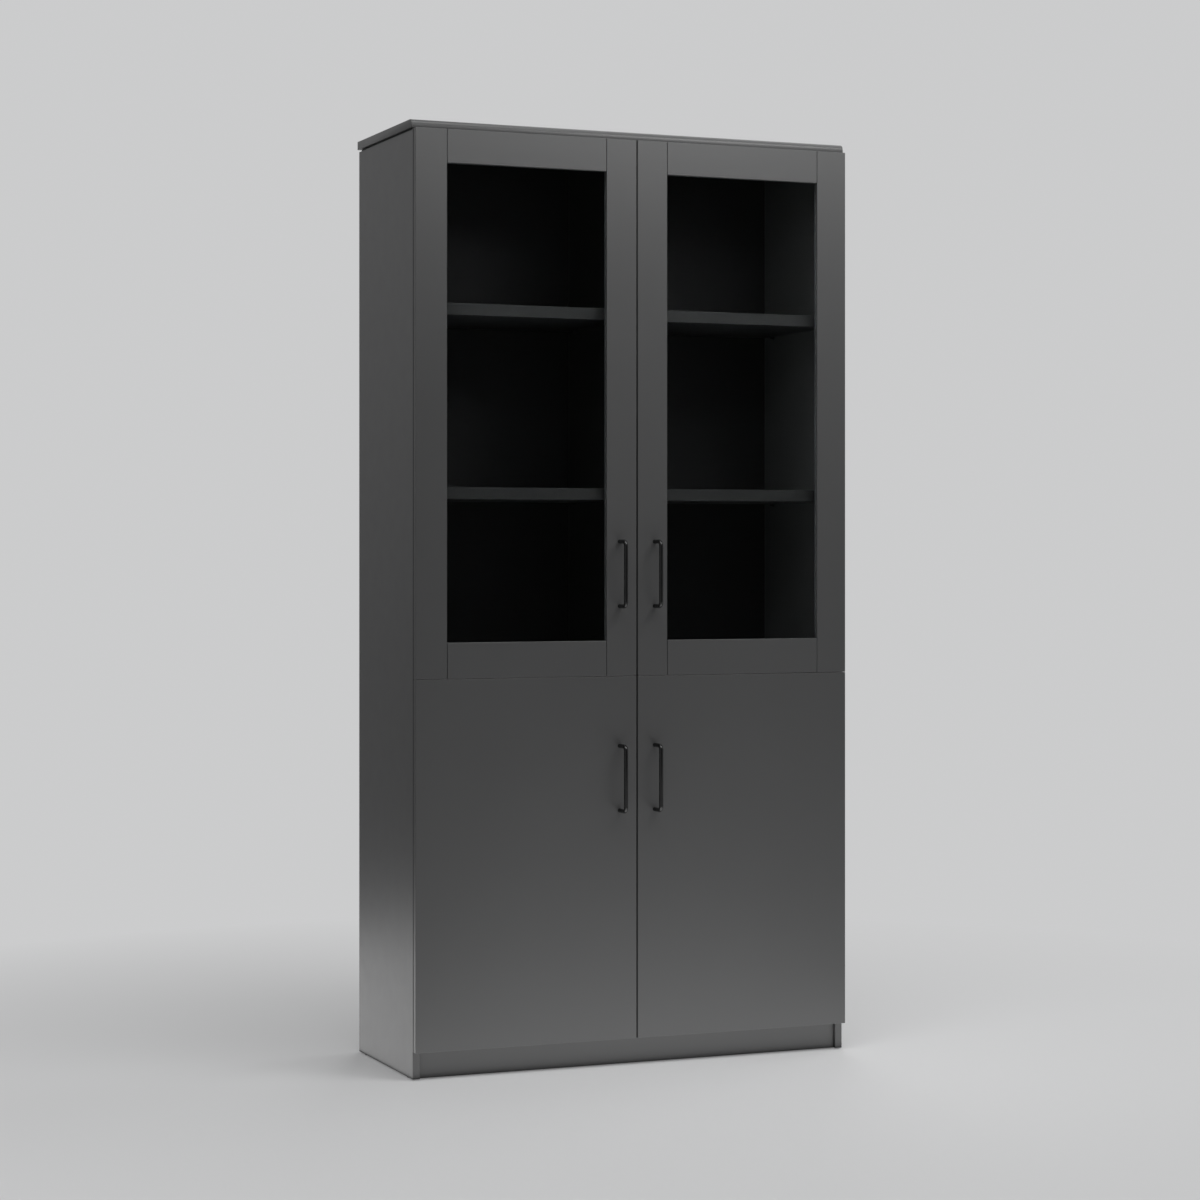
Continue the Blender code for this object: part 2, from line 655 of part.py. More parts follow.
def arc_points(centre, radius, start, end):
    """Gives points along an arc, from one angle to another in degrees."""
    steps = math.ceil(abs(end - start) / ARC_STEP)
    angles = [math.radians(start + (end - start) * step / steps) for step in range(steps + 1)]
    return [(centre[0] + radius * math.cos(angle), centre[1] + radius * math.sin(angle)) for angle in angles]


def strip_outline():
    """Outline of the bent strip: rolled round the pin, inward through the cup, then back."""
    half = STRIP_THICKNESS / 2
    bend = (NECK_REACH - STRIP_BEND_RADIUS, EYE_RADIUS - STRIP_BEND_RADIUS)
    tail = PIN_TO_ARM + STRIP_LAP
    near = arc_points((0, 0), EYE_RADIUS - half, 90 + EYE_WRAP, 90)
    near += arc_points(bend, STRIP_BEND_RADIUS - half, 90, 0)
    near.append((NECK_REACH - half, -tail))
    far = arc_points((0, 0), EYE_RADIUS + half, 90 + EYE_WRAP, 90)
    far += arc_points(bend, STRIP_BEND_RADIUS + half, 90, 0)
    far.append((NECK_REACH + half, -tail))
    return near + far[::-1]


def hinge_strip():
    """Extrudes the strip's outline to the width of the arm."""
    shape = bmesh.new()
    corners = [shape.verts.new((x, -forward, -ARM_WIDTH / 2)) for x, forward in strip_outline()]
    face = shape.faces.new(corners)
    made = bmesh.ops.extrude_face_region(shape, geom=[face])
    lifted = [item for item in made["geom"] if isinstance(item, bmesh.types.BMVert)]
    bmesh.ops.translate(shape, verts=lifted, vec=(0, 0, ARM_WIDTH))
    return shape


def hinge_arm(side):
    """Hinge arm: strip with its rolled eye, arm body and the plate on the side panel."""
    seat = SIDE_THICKNESS + SEAT_GAP - PIN_INWARD
    crown = NECK_REACH + STRIP_THICKNESS / 2 + ARM_COVER
    half = ARM_WIDTH / 2 + ARM_COVER
    foot = seat + PLATE_THICKNESS - PLATE_LAP
    body = box((foot, crown), (PIN_TO_ARM, PIN_TO_ARM + ARM_LENGTH), (-half, half))
    round_edges(body, ARM_ROUND, 2, lambda place: place.x > crown - PLATE_LAP)
    plate_middle = PIN_TO_ARM + ARM_LENGTH / 2
    plate = box(
        (seat, seat + PLATE_THICKNESS),
        (plate_middle - PLATE_LENGTH / 2, plate_middle + PLATE_LENGTH / 2),
        (-PLATE_WIDTH / 2, PLATE_WIDTH / 2),
    )
    round_corners(plate, PLATE_ROUND, 0)
    holes = screw_holes(seat, plate_middle, PLATE_SCREW_SPACING, (1, 0, 0))
    joined = [mirrored(shape, side) for shape in (hinge_strip(), plate)]
    return combine(mirrored(body, side), joined, [mirrored(hole, side) for hole in holes])


def build_hinges(name, side, heights, carcass, door, steel):
    """Puts a cup on the door and an arm on the side panel at each height."""
    cup = hinge_cup(side)
    arm = hinge_arm(side)
    for number, height in enumerate(heights, 1):
        origin = (outward(side, PIN_INWARD), HINGE_Y, height)
        place(f"{name}_hinge_cup_{number}", cup, steel, door, origin)
        place(f"{name}_hinge_arm_{number}", arm, steel, carcass, origin)


def build_handle(name, side, height, door, black):
    x = outward(side, DOOR_MEETING - HANDLE_FROM_EDGE)
    handle = bpy.data.objects.new(f"{name}_handle", bow_handle())
    handle.data.materials.append(black)
    handle.parent = door
    handle.location = Vector((x, DOOR_FRONT, height)) - door.location
    bpy.context.collection.objects.link(handle)


def build_upper_door(word, side, carcass, lacquer, glass, black, steel):
    name = f"upper_{word}"
    heights = hinge_heights(UPPER_DOOR_FOOT, UPPER_DOOR_TOP, UPPER_HINGE_COUNT)
    door = pivot(f"{name}_door_axis", (outward(side, PIN_INWARD), HINGE_Y, UPPER_DOOR_FOOT))
    hinged = (DOOR_REVEAL, DOOR_REVEAL + STILE_WIDTH)
    meeting = (DOOR_MEETING - STILE_WIDTH, DOOR_MEETING)
    put(f"{name}_hinge_stile", stile(side, hinged, True, hinge_bores(side, heights)), lacquer, door)
    put(f"{name}_meeting_stile", stile(side, meeting, False, []), lacquer, door)
    for which in rail_ranges():
        put(f"{name}_{which}_rail", rail(side, which), lacquer, door)
    put(f"{name}_glass_pane", pane(side), glass, door)
    put(f"{name}_glazing_bead", glazing_bead(side), lacquer, door)
    build_handle(name, side, SPLIT_HEIGHT + HANDLE_FROM_SPLIT, door, black)
    build_hinges(name, side, heights, carcass, door, steel)


def build_lower_door(word, side, carcass, lacquer, black, steel):
    name = f"lower_{word}"
    heights = hinge_heights(LOWER_DOOR_FOOT, LOWER_DOOR_TOP, LOWER_HINGE_COUNT)
    door = pivot(f"{name}_door_axis", (outward(side, PIN_INWARD), HINGE_Y, LOWER_DOOR_FOOT))
    slab = door_blank(side, (DOOR_REVEAL, DOOR_MEETING), (LOWER_DOOR_FOOT, LOWER_DOOR_TOP), True)
    put(f"{name}_door_slab", combine(slab, cut=hinge_bores(side, heights)), lacquer, door)
    build_handle(name, side, SPLIT_HEIGHT - HANDLE_FROM_SPLIT, door, black)
    build_hinges(name, side, heights, carcass, door, steel)


def main():
    clear_scene()
    lacquer = finish("graphite_lacquer", (0.058, 0.058, 0.059), 0.36)
    inner = finish("black_board", (0.012, 0.012, 0.012), 0.5)
    backing = finish("black_hardboard", (0.010, 0.010, 0.010), 0.6)
    glass = finish("clear_glass", (0.93, 0.95, 0.95), 0.0, transmission=1.0)
    black = finish("black_coat", (0.009, 0.009, 0.009), 0.3)
    steel = finish("nickel_steel", (0.55, 0.55, 0.54), 0.3, metallic=1.0)
    nylon = finish("black_nylon", (0.015, 0.015, 0.015), 0.5)
    carcass = pivot("carcass", (0, 0, 0))
    build_carcass(carcass, lacquer, inner, backing, nylon)
    for word, side in SIDES.items():
        build_upper_door(word, side, carcass, lacquer, glass, black, steel)
        build_lower_door(word, side, carcass, lacquer, black, steel)


main()
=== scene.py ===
# %% [markdown]
# # A tall display cabinet in dark satin lacquer
# The cabinet is a plain board carcass with a framed glass door over a solid door on each side.
# All load-bearing pieces come in as a fixed frame, at their real size in metres. This lesson dresses
# that frame: every surface gets its own finish, the coarse round pieces are swapped for smooth ones,
# the small fittings are added, and a plain studio is set up around it.

# %% Load the frame
import json
import math

import bmesh
import bpy
from mathutils import Matrix, Vector


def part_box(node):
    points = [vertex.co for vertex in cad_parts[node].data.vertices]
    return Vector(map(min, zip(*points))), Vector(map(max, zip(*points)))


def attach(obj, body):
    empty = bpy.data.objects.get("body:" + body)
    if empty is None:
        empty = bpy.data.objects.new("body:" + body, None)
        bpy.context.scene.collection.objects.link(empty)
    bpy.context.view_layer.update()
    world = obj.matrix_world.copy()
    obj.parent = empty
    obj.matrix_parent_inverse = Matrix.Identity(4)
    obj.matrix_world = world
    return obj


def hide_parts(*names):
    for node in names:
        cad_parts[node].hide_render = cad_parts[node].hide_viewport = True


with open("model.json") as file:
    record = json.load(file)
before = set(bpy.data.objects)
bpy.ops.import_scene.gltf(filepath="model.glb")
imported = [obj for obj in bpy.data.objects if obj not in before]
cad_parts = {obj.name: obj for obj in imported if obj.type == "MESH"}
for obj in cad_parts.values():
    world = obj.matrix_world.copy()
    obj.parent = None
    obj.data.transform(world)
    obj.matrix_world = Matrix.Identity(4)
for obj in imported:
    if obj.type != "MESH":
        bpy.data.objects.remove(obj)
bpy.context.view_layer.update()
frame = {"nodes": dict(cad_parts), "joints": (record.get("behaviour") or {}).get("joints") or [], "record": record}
nodes = frame["nodes"]

# %% [markdown]
# ## The view
# The photograph was taken at chest height with a long lens, level with the horizon, from the left of
# the cabinet. A level camera keeps the upright edges upright. The lens shift then moves the picture
# up a little, in place of a tilt, which would make those edges lean.

# %% Camera
LENS = 85.2
SENSOR = 36.0
CAMERA_PLACE = (-2.399, -5.7573, 1.099)
CAMERA_PITCH = 90
CAMERA_YAW = -22.5
CAMERA_SHIFT = -0.040

camera = bpy.data.objects.new("camera", bpy.data.cameras.new("camera"))
camera.data.lens = LENS
camera.data.sensor_width = SENSOR
camera.data.shift_y = CAMERA_SHIFT
camera.location = CAMERA_PLACE
camera.rotation_euler = (math.radians(CAMERA_PITCH), 0, math.radians(CAMERA_YAW))
bpy.context.collection.objects.link(camera)
bpy.context.scene.camera = camera
bpy.context.scene.view_settings.view_transform = "Standard"
print("camera:", CAMERA_PLACE, "lens", LENS)

# %% [markdown]
# ## Tools for finishes
# A finish is a Principled shader whose colour, roughness and bump come from small procedural
# patterns. The patterns read Object coordinates: every piece has its origin at the floor, so one
# pattern runs on from board to board at its real scale, in metres. A finish could be wired by hand in
# the shader editor. A few helpers make each one a handful of lines instead, which are easy to change.

# %% Node helpers
def wire(source, target):
    target.id_data.links.new(source, target)


def feed(node, **sockets):
    """Fills the named sockets of a node: a pattern is wired, a plain value is set."""
    for name, value in sockets.items():
        socket = node.inputs[name.replace("_", " ")]
        if isinstance(value, bpy.types.NodeSocket):
            wire(value, socket)
        else:
            socket.default_value = value
    return node


def add_node(tree, kind, **sockets):
    """Adds a shader node and fills its sockets."""
    return feed(tree.nodes.new("ShaderNode" + kind), **sockets)


def start_finish(name, **sockets):
    """Makes a material and gives back its tree, its Principled shader and Object coordinates."""
    material = bpy.data.materials.new(name)
    material.use_nodes = True
    tree = material.node_tree
    shader = feed(tree.nodes["Principled BSDF"], **sockets)
    place = add_node(tree, "TexCoord").outputs["Object"]
    return material, tree, shader, place


print("node helpers ready")

# %% [markdown]
# Every pattern here starts as noise or as waves. A ramp stretches it to the range that a socket needs,
# a tint turns it into a blend of two colours, and a bump presses it into the surface. Greys lean a
# hair towards blue, as the lacquer does.

# %% Pattern helpers
GREY_LEAN = (1.0, 1.004, 1.012)


def grey(value):
    return (*(value * share for share in GREY_LEAN), 1.0)


def noise(tree, place, scale, detail=2.0, roughness=0.5):
    made = add_node(tree, "TexNoise", Vector=place, Scale=scale, Detail=detail, Roughness=roughness)
    return made.outputs["Fac"]


def ramp(tree, source, low=0.0, high=1.0, start=0.3, end=0.7):
    """Maps a pattern between start and end to values between low and high."""
    made = add_node(tree, "MapRange", Value=source,
                    From_Min=start, From_Max=end, To_Min=low, To_Max=high)
    return made.outputs["Result"]


def tint(tree, factor, first, second):
    """Blends two colours by a pattern."""
    made = tree.nodes.new("ShaderNodeMix")
    made.data_type = "RGBA"
    feed(made, Factor=factor, A=first, B=second)
    return made.outputs["Result"]


def maths(tree, operation, *patterns):
    """Works out one pattern from one or two others."""
    made = tree.nodes.new("ShaderNodeMath")
    made.operation = operation
    for pattern, socket in zip(patterns, made.inputs):
        wire(pattern, socket)
    return made.outputs["Value"]


def bump(tree, height, depth, strength):
    """Presses a pattern into the surface, to a depth in metres."""
    made = add_node(tree, "Bump", Height=height, Distance=depth, Strength=strength)
    return made.outputs["Normal"]


print("pattern helpers ready")

# %% [markdown]
# ## Satin lacquer
# Doors, sides, top and plinth are sprayed with a dark grey satin lacquer. Sprayed lacquer is almost
# even in colour, but it dries with a faint orange-peel ripple a few millimetres across, and its
# sheen wanders a little where the coat is thicker. Both show only in reflections, so the colour
# moves by a few thousandths, and the ripple is a bump of one or two hundredths of a millimetre.

# %% Lacquer
def lacquer_finish():
    material, tree, shader, place = start_finish("satin_lacquer", IOR=1.5, Specular_IOR_Level=0.24)
    cloud = ramp(tree, noise(tree, place, scale=1.7, detail=3.0))
    sheen = noise(tree, place, scale=26.0, detail=4.0)
    peel = noise(tree, place, scale=330.0)
    feed(shader, Base_Color=tint(tree, cloud, grey(0.056), grey(0.061)),
         Roughness=ramp(tree, sheen, low=0.35, high=0.375),
         Normal=bump(tree, peel, depth=0.00002, strength=0.6))
    return material


LACQUER = lacquer_finish()
print("finish:", LACQUER.name)

# %% [markdown]
# ## Inner boards
# Shelves, divider, floor and middle panel are faced with black melamine. Their colour is darkened
# past that black as painted shade, for the dim inside of the cabinet. That facing is pressed with a
# fine pearl grain, which scatters light, so it is duller than the lacquer and shows no clear reflection.

# %% Melamine
def melamine_and_shade_finish():
    material, tree, shader, place = start_finish("black_melamine_and_shade", IOR=1.46, Specular_IOR_Level=0.15)
    cloud = ramp(tree, noise(tree, place, scale=4.0, detail=4.0))
    grain = noise(tree, place, scale=900.0, detail=3.0, roughness=0.6)
    # painted shade: these greys are the black facing, darkened further for the dim inside of the cabinet
    feed(shader, Base_Color=tint(tree, cloud, grey(0.0085), grey(0.0105)),
         Roughness=ramp(tree, grain, low=0.42, high=0.56),
         Normal=bump(tree, grain, depth=0.00004, strength=0.5))
    return material


MELAMINE_AND_SHADE = melamine_and_shade_finish()
print("finish:", MELAMINE_AND_SHADE.name)

# %% [markdown]
# ## Hardboard backs
# The backs are thin hardboard. The face towards the shelves is smooth and black, darkened further as
# painted shade for the dim inside of the cabinet. The rear keeps the print of the wire screen that the
# wet board was pressed on: a weave of small squares. The two faces are told apart by which way they
# look, and two crossed wave patterns make the weave.

# %% Hardboard
SCREEN_PITCH = 0.0022
WAVE_PITCH = math.pi / 10  # of Blender's wave pattern at a scale of 1
RAW_FIBRE = (0.034, 0.031, 0.029, 1)


def hardboard_finish():
    material, tree, shader, place = start_finish("black_hardboard", IOR=1.45, Specular_IOR_Level=0.12)
    wires = []
    for direction in ("X", "Z"):
        wave = add_node(tree, "TexWave", Vector=place, Scale=WAVE_PITCH / SCREEN_PITCH,
                        Distortion=0.6, Detail=1.0)
        wave.bands_direction = direction
        wires.append(wave.outputs["Fac"])
    normal = add_node(tree, "NewGeometry").outputs["Normal"]
    facing = add_node(tree, "SeparateXYZ", Vector=normal)
    rear = ramp(tree, facing.outputs["Y"], start=0.2, end=0.8)
    weave = maths(tree, "MULTIPLY", maths(tree, "MULTIPLY", *wires), rear)
    # painted shade: the face towards the shelves is its own black, darkened further for the dim inside of the
    # cabinet
    feed(shader, Base_Color=tint(tree, rear, grey(0.006), RAW_FIBRE),
         Roughness=ramp(tree, rear, low=0.45, high=0.8, start=0.0, end=1.0),
         Normal=bump(tree, weave, depth=0.0003, strength=0.7))
    return material


HARDBOARD = hardboard_finish()
print("finish:", HARDBOARD.name)

# %% [markdown]
# ## Glass
# The panes are clear float glass, four millimetres thick. Two things make a render of a cabinet look
# wrong: lamps that can't shine through the pane, and a pane that mirrors the whole studio. So shadow
# rays pass straight through, and the mirror part of the glass is held low, as on display glass.

# %% Glass
PANE_COLOUR = (0.93, 0.95, 0.95, 1)
PANE_MIRROR = (0.06, 0.06, 0.06, 1)
PANE_SHADOW = (0.9, 0.92, 0.92, 1)


def mix_shaders(tree, factor, first, second):
    """Blends two shaders and sends the result to the surface."""
    made = add_node(tree, "MixShader", Fac=factor)
    wire(first, made.inputs[1])
    wire(second, made.inputs[2])
    wire(made.outputs["Shader"], tree.nodes["Material Output"].inputs["Surface"])


def glass_finish():
    material, tree, shader, place = start_finish(
        "clear_glass", Transmission_Weight=1.0, IOR=1.5,
        Base_Color=PANE_COLOUR, Specular_Tint=PANE_MIRROR)
    smear = noise(tree, place, scale=9.0, detail=3.0)
    feed(shader, Roughness=ramp(tree, smear, low=0.0, high=0.012, start=0.45, end=0.75))
    clear = add_node(tree, "BsdfTransparent", Color=PANE_SHADOW)
    in_shadow = add_node(tree, "LightPath").outputs["Is Shadow Ray"]
    mix_shaders(tree, in_shadow, shader.outputs["BSDF"], clear.outputs["BSDF"])
    return material


GLASS = glass_finish()
print("finish:", GLASS.name)

# %% [markdown]
# ## Metal and plastic
# The handles are steel rod with a black satin coat. The hinges are pressed steel plated with nickel,
# whose sheen is broken by faint drawing marks: noise that is stretched along the arm. The glides,
# pins and bumpers are dull moulded nylon.

# %% Metal and plastic
NICKEL_DARK = (0.50, 0.49, 0.47, 1)
NICKEL_LIGHT = (0.60, 0.59, 0.57, 1)
MARK_SCALE = (2500.0, 120.0, 2500.0)


def black_coat_finish():
    material, tree, shader, place = start_finish("black_coat", IOR=1.5, Specular_IOR_Level=0.3)
    shade = ramp(tree, noise(tree, place, scale=60.0, detail=3.0))
    speck = noise(tree, place, scale=1400.0)
    feed(shader, Base_Color=tint(tree, shade, grey(0.005), grey(0.007)),
         Roughness=ramp(tree, speck, low=0.11, high=0.15),
         Normal=bump(tree, speck, depth=0.00001, strength=0.4))
    return material


def nickel_finish():
    material, tree, shader, place = start_finish("nickel_plate", Metallic=1.0)
    shade = ramp(tree, noise(tree, place, scale=90.0, detail=3.0))
    stretched = add_node(tree, "Mapping", Vector=place, Scale=MARK_SCALE)
    marks = noise(tree, stretched.outputs["Vector"], scale=1.0)
    feed(shader, Base_Color=tint(tree, shade, NICKEL_DARK, NICKEL_LIGHT),
         Roughness=ramp(tree, marks, low=0.22, high=0.38),
         Normal=bump(tree, marks, depth=0.00001, strength=0.3))
    return material


def nylon_finish():
    material, tree, shader, place = start_finish("black_nylon", IOR=1.5, Specular_IOR_Level=0.15)
    grain = noise(tree, place, scale=1600.0)
    feed(shader, Base_Color=tint(tree, ramp(tree, grain), grey(0.0136), grey(0.016)),
         Roughness=ramp(tree, grain, low=0.44, high=0.56),
         Normal=bump(tree, grain, depth=0.00003, strength=0.4))
    return material


BLACK_COAT = black_coat_finish()
NICKEL = nickel_finish()
NYLON = nylon_finish()
print("finishes:", BLACK_COAT.name, NICKEL.name, NYLON.name)

# %% [markdown]
# ## Dress the frame
# Each node of the frame says in the record which finish it takes, by the name of a material slot.
# A table from slot to finish is enough to dress the whole cabinet.

# %% Assign finishes
FINISH_OF = {
    "lacquer": LACQUER,
    "inner_board": MELAMINE_AND_SHADE,
    "back_board": HARDBOARD,
    "glass": GLASS,
    "handle_metal": BLACK_COAT,
    "hinge_steel": NICKEL,
    "glide_nylon": NYLON,
}
SLOT_OF = {part["node"]: part["material_slot"] for part in frame["record"]["subparts"]}
for name, slot in SLOT_OF.items():
    data = nodes[name].data
    data.materials.clear()
    data.materials.append(FINISH_OF[slot])
print("dressed:", len(SLOT_OF), "nodes")

# %% [markdown]
# ## Painted shade where the doors meet
# The gap between a left and a right door reads as one bold dark line, because painted shade darkens
# the two edges that meet: a black band wraps the broken front edge and stands in for the shade in the
# gap. It could be a piece of its own, but it is as thin as paint, so it is painted: a copy of the
# lacquer turns black close to the cabinet's middle.

# %% Painted gap shade on the doors
SIDES = {"left": -1, "right": 1}
LEVELS = ("upper", "lower")
DOORS = [level + "_" + side for level in LEVELS for side in SIDES]
GAP_SHADE_REACH = 0.0019
GAP_SHADE_FADE = 0.0001


def meeting_board(door):
    """Names the board of a door that meets the door beside it."""
    return door + ("_meeting_stile" if door.startswith("upper") else "_door_slab")


def gap_shade_finish():
    material = LACQUER.copy()
    material.name = "painted_gap_shade_lacquer"
    tree = material.node_tree
    shader = tree.nodes["Principled BSDF"]
    lacquered = shader.inputs["Base Color"].links[0].from_socket
    split = add_node(tree, "SeparateXYZ", Vector=add_node(tree, "TexCoord").outputs["Object"])
    distance = maths(tree, "ABSOLUTE", split.outputs["X"])
    # painted shade: close to the middle the lacquer turns near black, standing in for the shade in the gap between
    # the doors
    beyond = ramp(tree, distance, start=GAP_SHADE_REACH, end=GAP_SHADE_REACH + GAP_SHADE_FADE)
    feed(shader, Base_Color=tint(tree, beyond, grey(0.004), lacquered))
    return material


GAP_SHADE_LACQUER = gap_shade_finish()
for door in DOORS:
    nodes[meeting_board(door)].data.materials[0] = GAP_SHADE_LACQUER
print("painted_gap_shade:", [meeting_board(door) for door in DOORS])

# %% [markdown]
# ## Tools for shapes
# The new pieces are built with a handful of mesh operators: a box, a profile turned on an axis as on a
# lathe, edges that are rounded off, and ends that are cut off along a plane. Edges are picked by where
# they lie, because their numbers change with every operator.

# %% Shape helpers
TINY = 1e-6


def near(first, second):
    return abs(first - second) < TINY


def edges_where(shape, test):
    """Gives the edges with both ends at places that pass a test."""
    return [edge for edge in shape.edges if all(test(vert.co) for vert in edge.verts)]


def round_off(shape, edges, radius, steps):
    bmesh.ops.bevel(shape, geom=list(edges), offset=radius, segments=steps, profile=0.5,
                    affect="EDGES", material=-1)


def block(low, high):
    """Makes a box between two corners."""
    low, high = Vector(low), Vector(high)
    shape = bmesh.new()
    place = Matrix.Translation((low + high) / 2) @ Matrix.Diagonal((*(high - low), 1))
    bmesh.ops.create_cube(shape, size=1, matrix=place)
    return shape


def lathe(profile, steps):
    """Turns a profile of radius and height once round the z axis."""
    shape = bmesh.new()
    verts = [shape.verts.new((radius, 0, height)) for radius, height in profile]
    edges = [shape.edges.new(pair) for pair in zip(verts, verts[1:])]
    bmesh.ops.spin(shape, geom=verts + edges, axis=(0, 0, 1), cent=(0, 0, 0),
                   angle=math.tau, steps=steps, use_merge=True)
    bmesh.ops.remove_doubles(shape, verts=shape.verts, dist=TINY)
    return shape


def cut_off(shape, spot, outward):
    """Cuts off what lies beyond a plane and closes the cut."""
    bmesh.ops.bisect_plane(shape, geom=shape.verts[:] + shape.edges[:] + shape.faces[:],
                           plane_co=spot, plane_no=outward, clear_outer=True)
    bmesh.ops.holes_fill(shape, edges=[edge for edge in shape.edges if edge.is_boundary])


print("shape helpers ready")

# %% [markdown]
# ## Tools for pieces
# A piece can be one shape or several that are joined. Each is built where it belongs, with its object
# at the origin, so the finishes stay at true scale. It then rides on its door or on the carcass, and
# takes the place of the coarse piece it stands for.

# %% Piece helpers
SMOOTH_ANGLE = 35


def join(shape, extra, place=Matrix()):
    """Moves one shape to a place and adds it to another."""
    bmesh.ops.transform(extra, matrix=place, verts=extra.verts)
    passing = bpy.data.meshes.new("passing")
    extra.to_mesh(passing)
    extra.free()
    shape.from_mesh(passing)
    bpy.data.meshes.remove(passing)


def make_object(name, shape):
    data = bpy.data.meshes.new(name)
    shape.to_mesh(data)
    shape.free()
    made = bpy.data.objects.new(name, data)
    bpy.context.collection.objects.link(made)
    return made


def piece(name, shape, slot, body, *stands_for):
    """Turns a shape into an object that rides on a body and takes the finish of a slot."""
    bmesh.ops.recalc_face_normals(shape, faces=shape.faces)
    made = make_object(name, shape)
    made.data.shade_smooth()
    made.data.set_sharp_from_angle(angle=math.radians(SMOOTH_ANGLE))
    made.data.materials.append(FINISH_OF[slot])
    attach(made, body)
    if stands_for:
        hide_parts(*stands_for)
    return made


print("piece helpers ready")

# %% [markdown]
# ## Top board
# The front edge of the top is rounded over with a cutter, and that long round edge carries the
# brightest line on the cabinet. It needs many narrow facets to keep that line even. The bevel
# operator does in one call what the cutter does. The ends get a smaller round, and the lower edges
# are only broken with sandpaper.

# %% Top board with a round nose
NOSE_RADIUS, NOSE_STEPS = 0.012, 14
END_RADIUS, END_STEPS = 0.001, 4
BROKEN_EDGE, BROKEN_STEPS = 0.0006, 2


def nosed_top():
    low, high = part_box("top_board")
    shape = block(low, high)
    nose = edges_where(shape, lambda spot: near(spot.y, low.y) and near(spot.z, high.z))
    round_off(shape, nose, NOSE_RADIUS, NOSE_STEPS)
    for end in (low.x, high.x):
        rim = [edge for edge in edges_where(shape, lambda spot: near(spot.x, end))
               if max(vert.co.z for vert in edge.verts) > low.z + TINY]
        round_off(shape, rim, END_RADIUS, END_STEPS)
    under = edges_where(shape, lambda spot: near(spot.z, low.z))
    round_off(shape, under, BROKEN_EDGE, BROKEN_STEPS)
    return piece("nosed_top", shape, SLOT_OF["top_board"], "carcass", "top_board")


print("made:", nosed_top().name)

# %% [markdown]
# ## Bow handles
# Each handle is one steel rod bent at two corners. It could be a curve with a round bevel. Here it is
# made the way it is made in the shop: start with the round end at the door, pull it out, swing it
# round the first corner, pull it along, swing it round the second corner and pull it back to the
# door. Two helpers do the pulling and the swinging, and the hinges use them again.

# %% Pulling and swinging
def edges_of(items):
    return [item for item in items if isinstance(item, bmesh.types.BMEdge)]


def verts_of(items):
    return [item for item in items if isinstance(item, bmesh.types.BMVert)]


def run(shape, ring, step):
    """Pulls a ring of edges straight on and gives back the new ring."""
    made = bmesh.ops.extrude_edge_only(shape, edges=ring)["geom"]
    fresh = set(verts_of(made))
    bmesh.ops.translate(shape, verts=list(fresh), vec=step)
    return [edge for edge in edges_of(made) if set(edge.verts) <= fresh]


def turn(shape, ring, centre, axis, degrees, steps):
    """Swings a ring of edges round an axis and gives back the new ring."""
    corners = list({vert for edge in ring for vert in edge.verts})
    made = bmesh.ops.spin(shape, geom=ring + corners, cent=centre, axis=axis,
                          angle=math.radians(degrees), steps=steps)
    return edges_of(made["geom_last"])


print("ring helpers ready")

# %% Handles
TOWARDS_REAR = Matrix.Rotation(math.radians(-90), 4, "X")
ACROSS = (1, 0, 0)
ROD_SIDES = 32
BEND_RADIUS, BEND_STEPS = 0.010, 12


def bow_handle(door):
    low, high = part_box(door + "_handle")
    radius = (high.x - low.x) / 2
    x, bar, foot = (low.x + high.x) / 2, low.y + radius, high.y
    bottom, top = low.z + radius, high.z - radius
    corner = bar + BEND_RADIUS
    shape = bmesh.new()
    start = Matrix.Translation((x, foot, bottom)) @ TOWARDS_REAR
    bmesh.ops.create_circle(shape, cap_ends=True, segments=ROD_SIDES, radius=radius, matrix=start)
    ring = run(shape, shape.edges[:], (0, corner - foot, 0))
    ring = turn(shape, ring, (x, corner, bottom + BEND_RADIUS), ACROSS, -90, BEND_STEPS)
    ring = run(shape, ring, (0, 0, top - bottom - 2 * BEND_RADIUS))
    ring = turn(shape, ring, (x, corner, top - BEND_RADIUS), ACROSS, -90, BEND_STEPS)
    ring = run(shape, ring, (0, foot - corner, 0))
    bmesh.ops.edgeloop_fill(shape, edges=ring)
    return piece(door + "_bow", shape, "handle_metal", door + "_door", door + "_handle")


print("made:", [bow_handle(door).name for door in DOORS])

# %% [markdown]
# ## Screws
# Every fitting is held by the same kind of screw: a low domed head with a cross recess. A grid of
# five by five squares is enough for the head. The middle cross of squares is pushed down to make the
# recess, and the rim is drawn out to a circle and down over the dome.

# %% Screw heads
GRID_SQUARES = 5
GRID_SHARE = 0.62  # half the grid's width over the radius
RECESS_TAPER = 0.7
RECESS_DEPTH = 0.7  # over the height
DOME = ((0.72, 0.97), (0.9, 0.72), (1.0, 0.35), (1.0, 0.0))  # shares of radius and height


